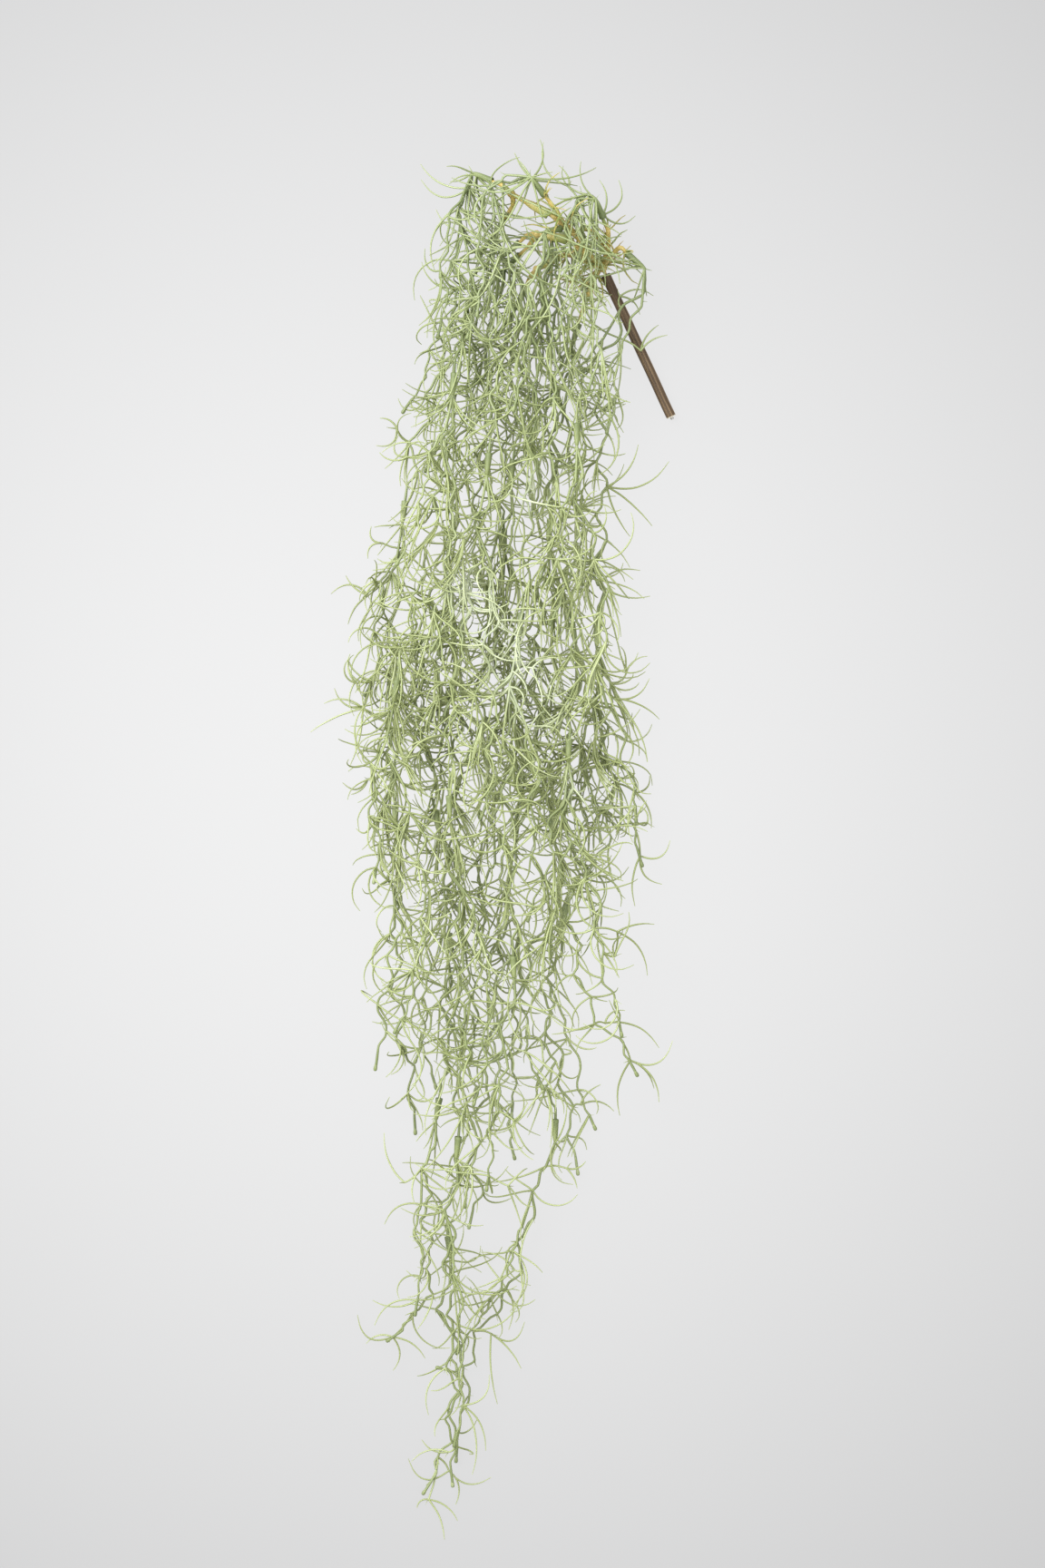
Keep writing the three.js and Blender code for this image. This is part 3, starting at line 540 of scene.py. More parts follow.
def coarse(path, length):
    return path[::finger["shortStep" if length < finger["shortBelow"] else "longStep"]]


def fitsHeap(tip, margin=0):
    left, right, height = heapAt(tip.y)
    return left + margin < tip.x < right - margin and tip.z < height + heapHeadroom


# Throws a finger from its root until one is free; habit gives its ranges of lean and hook, and how far
# it is turned level
def growFinger(root, tangent, draw, length, habit, isFree):
    side = sideOf(tangent)
    top = tangent.cross(side)
    for _ in range(habit["tries"]):
        around = draw() * math.pi * 2
        lean = between(habit["lean"], draw())
        hook = between(habit["hook"], draw())
        sweep = draw() * math.pi * 2
        sweep -= habit["level"] * math.sin(sweep * 2) / 2
        isWaved = draw() < habit["wavedShare"]
        direction = (tangent * math.cos(lean) + side * (math.sin(lean) * math.cos(around))
                     + top * (math.sin(lean) * math.sin(around)))
        direction.z *= 1 - habit["level"]
        direction.normalize()
        path = fingerPath(root, direction, length, hook, sweep, isWaved)
        if isFree(path):
            return path
    return None


def tangentAt(rib, i):
    place = rib["first"] + i
    return directionTo(rib["points"][place - 1], rib["points"][place])


def growWhorls(plan, rib, share):
    def isFree(path):
        rough = coarse(path, length)
        if not fitsHeap(path[-1]) or not isClear(rough, finger["radius"], plan["name"]):
            return False
        take(rough, finger["radius"], plan["name"])
        return True

    for i, bend in enumerate(rib["bends"]):
        length = between(finger["length"], plan["draw"]())
        if plan["draw"]() < share:
            path = growFinger(bend, tangentAt(rib, i), plan["draw"], length, finger, isFree)
            if path:
                plan["fingers"].append(path)


# A path that bows aside and up on its way; its control point stands twice as far out
def bowedPath(start, end, bow, lift, parts):
    middle = start.lerp(end, 0.5) + sideOf(directionTo(start, end)) * (bow * 2) + up * lift
    shares = [i / parts for i in range(parts + 1)]
    return [lifted(start * (1 - t) ** 2 + middle * (2 * t * (1 - t)) + end * t * t, finger["radius"])
            for t in shares]


# Distance, place and spray of the kink nearest to a spot seen from above
def nearestBend(plans, x, y):
    found = [((bend.xy - Vector((x, y))).length, bend, plan)
             for plan in plans for rib in plan["ribs"] for bend in rib["bends"]]
    return min(found, key=lambda item: item[0])


def growStray(plan, fork, tipX, tipY, bow):
    for lift in twig["lifts"]:
        tip = Vector((tipX, tipY, max(finger["radius"], fork.z * twig["tipHeight"] + lift / 2)))
        whole = bowedPath(fork, tip, bow, lift, finger["parts"])
        rough = coarse(whole, pathLength(whole))
        if isClear(rough, finger["radius"], plan["name"]):
            take(rough, finger["radius"], plan["name"])
            plan["fingers"].append(whole)
            return


def forkTwig(plan, root, heading, tips):
    plan["hubs"].append((root, heading))
    for tip in tips:
        growStray(plan, root, *tip)


# A twig grows from the kink nearest to its fork, on a stalk unless it is close by
def growTwig(plans, hub, tips):
    distance, bend, plan = nearestBend(plans, *hub)
    if distance < twig["shortestStalk"]:
        forkTwig(plan, bend, up, tips)
        return
    radius = twig["stalkRadius"]
    for lift in twig["lifts"]:
        fork = Vector((*hub, max(radius, bend.z * twig["forkHeight"] + lift / 2)))
        stalk = bowedPath(bend, fork, twig["stalkBow"], lift / 2, twig["stalkParts"])
        if isClear(stalk, radius, plan["name"]):
            take(stalk, radius, plan["name"])
            plan["stalks"].append(stalk)
            forkTwig(plan, stalk[-1], directionTo(bend, fork), tips)
            return


def planChain(number, armName, lane, layerName, until, rise, tail):
    route = routeOf(armName, lane, layerName, until, rise, tail)
    length = pathLength(route)
    tiers = math.floor(length / spray["moduleLength"] + 0.5)
    turn = (number - 1) * jointOrder % len(chains) / (len(chains) - 1)
    moved = spray["jointStagger"] * (turn * 2 - 1)
    inner = [(tier + moved) * length / tiers for tier in range(1, tiers)]
    return {"number": number, "route": route, "layer": layerName, "joints": [0] + inner + [length]}


take([Vector(stem["cutEnd"]), Vector(stem["head"])], stem["radius"] + stem["lobe"], "stem_sheath")
framePaths = planFrame()
forkPlans = [planFork(*row) for row in forks]
chainPlans = [planChain(number, *row) for number, row in enumerate(chains, 1)]
sprayPlans = [planSpray(chain, tier) for chain in chainPlans for tier in range(len(chain["joints"]) - 1)]
for hub, tips in twigs:
    growTwig(sprayPlans, hub, tips)
for plan in sprayPlans:
    growWhorls(plan, plan["ribs"][0], finger["mainShare"])
    growWhorls(plan, plan["ribs"][1], finger["sideShare"])
print("moss bunch:", len(sprayPlans), "sprays,",
      sum(len(plan["fingers"]) for plan in sprayPlans), "fingers planned")


# What the solid part leaves out: a second side rib, fuller whorls, hanging tresses and forked twigs
fullness = {
    "seed": 900,
    # y and how full the growth is there
    "stations": ((415, 0.5), (336, 0.45), (282, 0.4), (180, 0.6), (60, 1.15), (-20, 0.85), (-60, 0.55),
                 (-110, 0.4), (-180, 0.42), (-225, 0.56), (-260, 0.28), (-290, 0.02), (-413, 0)),
    "star": (4, 6.5),  # fingers thrown from every second kink
    "between": (0.4, 1.6),  # and from the kinks between
    "collar": (3, 6),  # and just below a socket
    "collarExtra": 0.15,
    "collarAim": 4,  # point of the rib that the first tress hangs towards
    "ending": (2, 4),  # and past the joint with the next spray
    "crown": (3, 6),  # and draped over the arms from the first collars
    "crownRoots": 3,
    "arch": (0.8, 2),  # and, in the top layer, back along the arms from the first points of a rib
    "archRoots": 6,
    "archTo": (66, 354, 50),
    "drape": (-0.3, -1, 0.1),  # the way that they hang
    "twigFingers": 3,
    "twigShare": 0.2,  # chance of a twig at a kink
    # and of a tress, at y
    "tressShares": ((415, 0.75), (200, 0.65), (60, 0.3), (-413, 0.3)),
    "tressFade": 0.5,  # power of the fullness in that chance
    "edge": -6,  # all may reach this far past the heap's edge
    "top": 404,  # and no further up than this y
    "stemMargin": 4,
    "bareStem": 322,  # strands stay off the stem below this y
    "stemStep": 3,  # every third point is tested against the stem
    "clearStep": 4,  # and every fourth against the arms, forks and sheath
}
secondRib = {**sideRib, "from": 1, "kinks": 6, "offset": 10, "lift": 7, "way": -1, "above": -150}
habits = {
    "thrown": {"radius": 0.55, "length": (20, 46), "lean": (0.5, 1.8), "hook": (1, 2.9),
               "wavedShare": 0.45, "level": 0.55, "tries": 6},
    "fan": {"radius": 0.52, "length": (11, 27), "lean": (0.1, 2.3), "hook": (0.2, 1.5),
            "wavedShare": 0.25, "level": 0.5, "tries": 6},
    "arch": {"radius": 0.58, "length": (26, 58), "lean": (0.05, 0.6), "hook": (0.4, 1.5),
             "wavedShare": 0.5, "level": 0.5, "tries": 9},
    "crown": {"radius": 0.6, "length": (26, 54), "lean": (0.2, 1.5), "hook": (1.2, 2.6),
              "wavedShare": 0.9, "level": 0.5, "tries": 9},
    "tress": {"radius": 0.54, "length": (28, 52), "lean": (0.1, 0.6), "hook": (0.5, 1.5),
              "wavedShare": 0.5, "level": 0.5, "tries": 9},
    "twig": {"radius": 0.54, "length": (15, 30), "lean": (0.4, 1.4), "hook": (0.8, 2.4),
             "wavedShare": 0.35, "level": 0.6, "tries": 6},
    "stalk": {"radius": 0.6, "length": (8, 15), "lean": (0.6, 1.35), "hook": (0.5, 1.5),
              "wavedShare": 0.3, "level": 0.5, "tries": 6},
}
tress = {"strands": (3, 6), "spread": 5, "stretch": (0.6, 1.1)}  # spread in mm at the tips


# Stations are (y, value) pairs from the stem end down
def valueAt(stations, y):
    for (highY, high), (lowY, low) in zip(stations, stations[1:]):
        if y >= lowY:
            return between((high, low), min(max((highY - y) / (highY - lowY), 0), 1))
    return stations[-1][1]


def fullAt(y):
    return valueAt(fullness["stations"], y)


stemStart, stemEnd = Vector(stem["cutEnd"]), Vector(stem["head"])
stemWay = directionTo(stemStart, stemEnd)


# Whether a path comes near the line of the stem, seen from above
def crossesStem(path):
    beside = [(spot - stemStart).dot(sideOf(stemWay)) for spot in path[::fullness["stemStep"]]
              if spot.y < fullness["bareStem"]]
    margin = fullness["stemMargin"]
    return bool(beside) and max(beside) > -margin and min(beside) < margin


def growHabit(plan, root, tangent, draw, name):
    def isFree(path):
        rough = path[::fullness["clearStep"]]
        return (fitsHeap(path[-1], fullness["edge"]) and path[-1].y < fullness["top"]
                and not crossesStem(path)
                and isClear(rough, habit["radius"], plan["name"], ignoreSprays=True))

    habit = habits[name]
    return growFinger(root, tangent, draw, between(habit["length"], draw()), habit, isFree)


# The count's fraction is the chance of one more
def addWhorl(plan, spot, tangent, draw, count, name="thrown"):
    for _ in range(math.floor(count + draw())):
        path = growHabit(plan, spot, tangent, draw, name)
        if path:
            plan["fillers"].append((path, habits[name]["radius"]))


# Strands that leave a whorl together and part a little on their way down
def addTress(plan, root, heading, draw):
    leader = growHabit(plan, root, heading, draw, "tress")
    if not leader:
        return
    for _ in range(math.floor(between(tress["strands"], draw()) * fullAt(root.y) + draw())):
        aside = Vector((draw() - 0.5, draw() - 0.5, draw() - 0.5)) * (2 * tress["spread"])
        stretch = between(tress["stretch"], draw())
        path = [root + (spot - root) * stretch + aside * (i / finger["parts"])
                for i, spot in enumerate(leader)]
        plan["fillers"].append((path, habits["tress"]["radius"]))


def addTwig(plan, bend, tangent, draw):
    stalk = growHabit(plan, bend, tangent, draw, "stalk")
    if stalk:
        plan["fillStalks"].append(stalk)
        heading = directionTo(stalk[-3], stalk[-1])
        plan["hubs"].append((stalk[-1], heading))
        addWhorl(plan, stalk[-1], heading, draw, fullness["twigFingers"], "twig")


def fillSpray(plan, draw):
    main = plan["ribs"][0]
    isFirst = plan["tier"] == 0
    if main["end"][0].y > secondRib["above"]:
        plan["ribs"].append(planSideRib(plan["chain"], plan["tier"], main, draw, secondRib))
    collar, heading = main["points"][1], plan["start"][1]
    plan["hubs"].append((collar, heading))
    full = min(1, fullAt(collar.y) + fullness["collarExtra"])
    addWhorl(plan, collar, heading, draw, between(fullness["collar"], draw()) * full, "fan")
    addTress(plan, collar, directionTo(collar, main["points"][fullness["collarAim"]]), draw)
    if isFirst:
        drape = Vector(fullness["drape"]).normalized()
        for i in range(fullness["crownRoots"]):
            root = main["points"][i].lerp(main["points"][i + 1], draw())
            count = between(fullness["crown"], draw()) / fullness["crownRoots"]
            addWhorl(plan, root, drape, draw, count, "crown")
    for rib in plan["ribs"]:
        if not rib["isFree"]:
            ending = between(fullness["ending"], draw()) * fullAt(rib["bends"][-1].y)
            addWhorl(plan, rib["bends"][-1], rib["end"][1], draw, ending, "tress")
        for i, bend in enumerate(rib["bends"]):
            tangent, full = tangentAt(rib, i), fullAt(bend.y)
            plan["hubs"].append((bend, tangent))
            count = between(fullness["star" if i % 2 else "between"], draw()) * full
            addWhorl(plan, bend, tangent, draw, count)
            ahead = rib["points"][min(rib["first"] + i + 2, len(rib["points"]) - 1)]
            tressShare = valueAt(fullness["tressShares"], bend.y) * full ** fullness["tressFade"]
            if draw() < tressShare and ahead != bend:
                addTress(plan, bend, directionTo(bend, ahead), draw)
            if draw() < fullness["twigShare"] * full:
                addTwig(plan, bend, tangent, draw)
    if isFirst and plan["chain"]["layer"] == "top":
        for root in main["points"][:fullness["archRoots"]]:
            heading = directionTo(root, Vector(fullness["archTo"]))
            addWhorl(plan, root, heading, draw, between(fullness["arch"], draw()), "arch")


for number, plan in enumerate(sprayPlans):
    plan["fillers"] = []
    plan["fillStalks"] = []
    fillSpray(plan, makeDraw(fullness["seed"] + number))
print("moss bunch:", sum(len(plan["fillers"]) for plan in sprayPlans), "further fingers")


# Materials
def linear(hexColour):
    channels = [int(hexColour[i:i + 2], 16) / 255 for i in (1, 3, 5)]
    return [c / 12.92 if c <= 0.04045 else ((c + 0.055) / 1.055) ** 2.4 for c in channels] + [1]


# Adds a node. An input that is a node or an output is linked, one named by a socket's identifier is
# its value, and any other is a setting of the node's own
def addNode(tree, kind, inputs=None):
    node = tree.nodes.new(kind)
    sockets = {entry.identifier: entry for entry in node.inputs}
    for name, value in (inputs or {}).items():
        if isinstance(value, bpy.types.Node):
            value = next(output for output in value.outputs if output.enabled)
        if isinstance(value, bpy.types.NodeSocket):
            tree.links.new(value, sockets[name])
        elif name in sockets:
            sockets[name].default_value = value
        else:
            setattr(node, name, value)
    return node


# A new material and what adds nodes to its tree
def newMaterial(name):
    material = bpy.data.materials.new(name)
    material.use_nodes = True
    material.node_tree.nodes.clear()
    return material, functools.partial(addNode, material.node_tree)


# Stops are (place, colour) pairs
def setRamp(node, stops):
    ramp, stops = node.color_ramp, list(stops)
    while len(ramp.elements) < len(stops):
        ramp.elements.new(0.5)
    for element, (place, colour) in zip(ramp.elements, stops):
        element.position = place
        element.color = linear(colour)


moss = {
    "deep": "#626A39",
    "middle": "#7B854A",
    "light": "#9DA477",
    "stops": (0.1, 0.5, 0.9),  # of these three on the tone, which the values down to paintedHeightShade make
    "driftShare": 0.6,
    "driftSize": 38,  # mm, of the slow change of colour across the heap
    "strandShare": 0.45,  # how far each strand has a tone of its own
    # Painted shade by height: the strands are toned darker the higher they lie, most at the top where they
    # stand in full light
    "toneHeights": (5, 48),  # mm over the table: top strands stand in full light and are toned down most
    "paintedHeightShade": (-0.09, -0.12),
    "tip": "#8F9862",
    "tipShare": 0.5,
    "sleeve": "#4A5831",
    "sage": "#6C7A4A",
    "sageHeight": (200, 380),  # y where the sage tint begins, and where it is full
    "sageShare": 0.55,
    # Painted highlight: faces that look up and towards the upper left, where the key light stands, are
    # painted paler
    "paintedHighlight": "#D2D6BC",
    "paintedHighlightFrom": (-0.35, 0.35, 0.87),
    "paintedHighlightFacing": (0.3, 1),  # how squarely a face looks that way where it begins, and where it is full
    "paintedHighlightShare": 0.32,
    "dust": "#C8CEB6",
    "dustCore": 1 / 3,  # share of a patch's reach where the dust is full
    # centre and reach of each patch
    "dustPlaces": (((-11, 146, 52), 20), ((2, 126, 52), 22), ((15, 103, 52), 24), ((27, 80, 52), 20),
                   ((58, 34, 48), 18), ((24, 205, 50), 16)),
    "mottleSize": 5,  # mm, drawn coarser than the real flow marks so that it shows
    "roughness": (0.48, 0.68),
    "soak": {"Subsurface Weight": 0.15, "Subsurface Radius": (1, 1, 0.4), "Subsurface Scale": 0.0012},
}
plasticIor = 1.5


# Moulded polyethylene: satin, light soaks a little way in, and each shot of plastic has its own tint. A
# painted highlight lies on the faces that look towards the key light, and painted shade changes with height
# over the table
def mossMaterial():
    material, add = newMaterial("mouldedPolyethyleneMossGreen")
    place = add("ShaderNodeTexCoord").outputs["Object"]
    read = {name: add("ShaderNodeAttribute", {"attribute_name": name}).outputs["Fac"]
            for name in ("tone", "tipward", "sleeve")}
    drift, mottle = [
        add("ShaderNodeTexNoise", {"Scale": 1 / (size * metre), "Detail": detail, "Vector": place})
        for size, detail in ((moss["driftSize"], 2), (moss["mottleSize"], 3))]
    spot = add("ShaderNodeSeparateXYZ", {"Vector": place}).outputs
    # Painted shade: the tone falls with height over the table
    blend = add("ShaderNodeMapRange", {
        "From Min": moss["toneHeights"][0] * metre, "From Max": moss["toneHeights"][1] * metre,
        "To Min": moss["paintedHeightShade"][0], "To Max": moss["paintedHeightShade"][1], "Value": spot["Z"]})
    for source, share in ((drift, moss["driftShare"]), (read["tone"], moss["strandShare"])):
        blend = add("ShaderNodeMath", {
            "operation": "MULTIPLY_ADD", "Value_001": share, "Value": source, "Value_002": blend})
    ramp = add("ShaderNodeValToRGB", {"Fac": blend})
    setRamp(ramp, zip(moss["stops"], (moss["deep"], moss["middle"], moss["light"])))

    # Tints laid over it in turn, each with its share
    tipShare = add("ShaderNodeMath", {
        "operation": "MULTIPLY", "Value_001": moss["tipShare"], "Value": read["tipward"]})
    sageShare = add("ShaderNodeMapRange", {
        "From Min": moss["sageHeight"][0] * metre, "From Max": moss["sageHeight"][1] * metre,
        "To Max": moss["sageShare"], "Value": spot["Y"]})
    # Painted highlight: paler on the faces that look towards the key light, strongest on the lightest tones
    facing = add("ShaderNodeVectorMath", {
        "operation": "DOT_PRODUCT", "Vector_001": moss["paintedHighlightFrom"],
        "Vector": add("ShaderNodeTexCoord").outputs["Normal"]})
    paintedHighlightMask = add("ShaderNodeMapRange", {
        "From Min": moss["paintedHighlightFacing"][0], "From Max": moss["paintedHighlightFacing"][1],
        "To Max": moss["paintedHighlightShare"], "Value": facing.outputs["Value"]})
    paintedHighlightMask = add("ShaderNodeMath", {
        "operation": "MULTIPLY", "use_clamp": True, "Value": paintedHighlightMask, "Value_001": blend})
    tints = [("tip", tipShare), ("sage", sageShare), ("paintedHighlight", paintedHighlightMask)]
    for centre, reach in moss["dustPlaces"]:
        distance = add("ShaderNodeVectorMath", {
            "operation": "DISTANCE", "Vector_001": Vector(centre) * metre, "Vector": place})
        near = add("ShaderNodeMapRange", {
            "From Min": reach * metre, "From Max": reach * metre * moss["dustCore"],
            "Value": distance.outputs["Value"]})
        tints.append(("dust", add("ShaderNodeMath", {
            "operation": "MULTIPLY", "Value": near, "Value_001": mottle})))
    colour = ramp.outputs["Color"]
    for tint, share in tints + [("sleeve", read["sleeve"])]:
        colour = add("ShaderNodeMix", {
            "data_type": "RGBA", "B_Color": linear(moss[tint]), "Factor_Float": share, "A_Color": colour})
    rough = add("ShaderNodeMapRange", {
        "To Min": moss["roughness"][0], "To Max": moss["roughness"][1], "Value": mottle})
    shader = add("ShaderNodeBsdfPrincipled", {
        "IOR": plasticIor, **moss["soak"], "Base Color": colour, "Roughness": rough})
    add("ShaderNodeOutputMaterial", {"Surface": shader})
    return material


mustard = {
    "base": "#AB9854",
    "pale": "#C6B478",
    "green": "#7C874C",
    "stops": (0.34, 0.46, 0.7),  # of green, base and pale
    "saturation": 1.05,
    "brightness": (0.88, 1.08),  # of the dullest and the brightest arm
    "mottleSize": 6,
    "grainSize": 0.9,
    "grain": {"Strength": 0.35, "Distance": 0.0002},
    "roughness": (0.35, 0.6),
}


# The same polyethylene in mustard, hand touched with green where it was dipped
def mustardMaterial():
    material, add = newMaterial("mouldedPolyethyleneMustard")
    place = add("ShaderNodeTexCoord").outputs["Object"]
    tone, sleeve = [add("ShaderNodeAttribute", {"attribute_name": name}).outputs["Fac"]
                    for name in ("tone", "sleeve")]
    mottle, grain = [
        add("ShaderNodeTexNoise", {"Scale": 1 / (size * metre), "Detail": detail, "Vector": place})
        for size, detail in ((mustard["mottleSize"], 4), (mustard["grainSize"], 2))]
    ramp = add("ShaderNodeValToRGB", {"Fac": mottle})
    setRamp(ramp, zip(mustard["stops"], (mustard["green"], mustard["base"], mustard["pale"])))
    greenShare = add("ShaderNodeMath", {
        "operation": "MULTIPLY", "use_clamp": True, "Value": sleeve, "Value_001": sleeve})
    colour = add("ShaderNodeMix", {
        "data_type": "RGBA", "B_Color": linear(mustard["green"]), "Factor_Float": greenShare,
        "A_Color": ramp.outputs["Color"]})
    brightness, rough = [
        add("ShaderNodeMapRange", {"To Min": low, "To Max": high, "Value": source})
        for source, (low, high) in ((tone, mustard["brightness"]), (mottle, mustard["roughness"]))]
    warm = add("ShaderNodeHueSaturation", {
        "Saturation": mustard["saturation"], "Color": colour, "Value": brightness})
    bump = add("ShaderNodeBump", {**mustard["grain"], "Height": grain})
    shader = add("ShaderNodeBsdfPrincipled", {
        "IOR": plasticIor, "Base Color": warm, "Roughness": rough, "Normal": bump})
    add("ShaderNodeOutputMaterial", {"Surface": shader})
    return material


bark = {
    "dark": "#30210E",
    "middle": "#4A371F",
    "pale": "#826C4D",
    "cut": "#C9C3B2",
    "stops": (0.2, 0.5, 0.95),  # of dark, middle and pale
    "streakWidth": 0.9,
    "streakLength": 22,
    "streakShare": 0.8,  # how far streaks, and the grooves, make the tone
    # share of the tone that the grooves' painted shade makes
    "grooveShadeShare": 0.2,
    "relief": {"Strength": 0.5, "Distance": 0.0003},
    "roughness": (0.72, 0.48),
}


# Extruded polyethylene sheath in brown: dull, with dark and pale streaks along it, and painted shade in the
# grooves that leaves the ridges paler
def barkMaterial():
    material, add = newMaterial("extrudedPolyethyleneBrown")
    uv = add("ShaderNodeUVMap", {"uv_map": "alongStem"})  # x round the stem, y along it, in metres
    groove, cut = [add("ShaderNodeAttribute", {"attribute_name": name}).outputs["Fac"]
                   for name in ("groove", "cut")]
    stretched = add("ShaderNodeMapping", {
        "Scale": (1 / (bark["streakWidth"] * metre), 1 / (bark["streakLength"] * metre), 1), "Vector": uv})
    streak = add("ShaderNodeTexNoise", {"Scale": 1, "Detail": 4, "Vector": stretched})
    height = add("ShaderNodeMath", {
        # Painted shade: the tone falls where the surface lies low, in the grooves
        "operation": "MULTIPLY", "Value_001": bark["grooveShadeShare"], "Value": groove})
    height = add("ShaderNodeMath", {
        "operation": "MULTIPLY_ADD", "Value_001": bark["streakShare"], "Value": streak,
        "Value_002": height})
    ramp = add("ShaderNodeValToRGB", {"Fac": height})
    setRamp(ramp, zip(bark["stops"], (bark["dark"], bark["middle"], bark["pale"])))
    colour = add("ShaderNodeMix", {
        "data_type": "RGBA", "B_Color": linear(bark["cut"]), "Factor_Float": cut,
        "A_Color": ramp.outputs["Color"]})
    rough = add("ShaderNodeMapRange", {
        "To Min": bark["roughness"][0], "To Max": bark["roughness"][1], "Value": height})
    bump = add("ShaderNodeBump", {**bark["relief"], "Height": streak})
    shader = add("ShaderNodeBsdfPrincipled", {
        "IOR": plasticIor, "Base Color": colour, "Roughness": rough, "Normal": bump})
    add("ShaderNodeOutputMaterial", {"Surface": shader})
    return material


steel = {"dull": "#8C8B87", "bright": "#B9B7B2", "stops": (0.3, 0.7), "scratchSize": 0.4,
         "roughness": (0.28, 0.5)}


# Drawn steel wire: bright metal with fine scratches along it, a little dulled
def steelMaterial():
    material, add = newMaterial("drawnSteelWire")
    place = add("ShaderNodeTexCoord").outputs["Object"]
    scratch = add("ShaderNodeTexNoise", {
        "Scale": 1 / (steel["scratchSize"] * metre), "Detail": 3, "Vector": place})
    ramp = add("ShaderNodeValToRGB", {"Fac": scratch})
    setRamp(ramp, zip(steel["stops"], (steel["dull"], steel["bright"])))
    rough = add("ShaderNodeMapRange", {
        "To Min": steel["roughness"][0], "To Max": steel["roughness"][1], "Value": scratch})
    shader = add("ShaderNodeBsdfPrincipled", {
        "Metallic": 1, "Base Color": ramp.outputs["Color"], "Roughness": rough})
    add("ShaderNodeOutputMaterial", {"Surface": shader})
    return material


mossFinish, mustardFinish = mossMaterial(), mustardMaterial()
barkFinish, steelFinish = barkMaterial(), steelMaterial()
print("moss bunch: materials ready")


# The tree that turns a plan into plastic: strands, spurs, sockets and peg bulbs
strands = {
    "Steps per kink": 2,
    "Sides": 6,
    "Waver": 0.2,  # mm, small sideways wander of every strand
    "Waver length": 14,
    "Spurs per whorl": 1,
    "Spur length": 5,
    "Spur radius": 0.45,
    "Spur lean": 0.9,
    "Seed": 41,
}
treeInputs = {
    "Steps per kink": "Int", "Sides": "Int", "Waver": "Float", "Waver length": "Float",
    "Spurs per whorl": "Int", "Spur length": "Float", "Spur radius": "Float", "Spur lean": "Float",
    "Seed": "Int", "Socket": "Object", "Bulb": "Object", "Finish": "Material",
}
lengthInputs = ("Waver", "Waver length", "Spur length", "Spur radius")
partCodes = {"strand": 0, "hub": 1, "socket": 2, "bulb": 3}
# A spur before it is scaled to its length, with few faces since there are so many
spur = {
    "sizes": (0.6, 1.2),  # shares of the spur length
    "bend": 0.55,  # place of its bend
    "aside": 0.3,  # how far its tip stands aside
    "tip": 0.2,  # share of its radius at the tip
    "steps": 3,
    "sides": 4,
    "dip": 0.6,  # how steeply one may aim down, by the room under it in spur lengths
}
waverSpread = (4, 4, 0)  # brings the noise to about 1 either way, and leaves heights alone
tableFloor = (-100, -100, 0)  # metres; keeps every point at or over the table


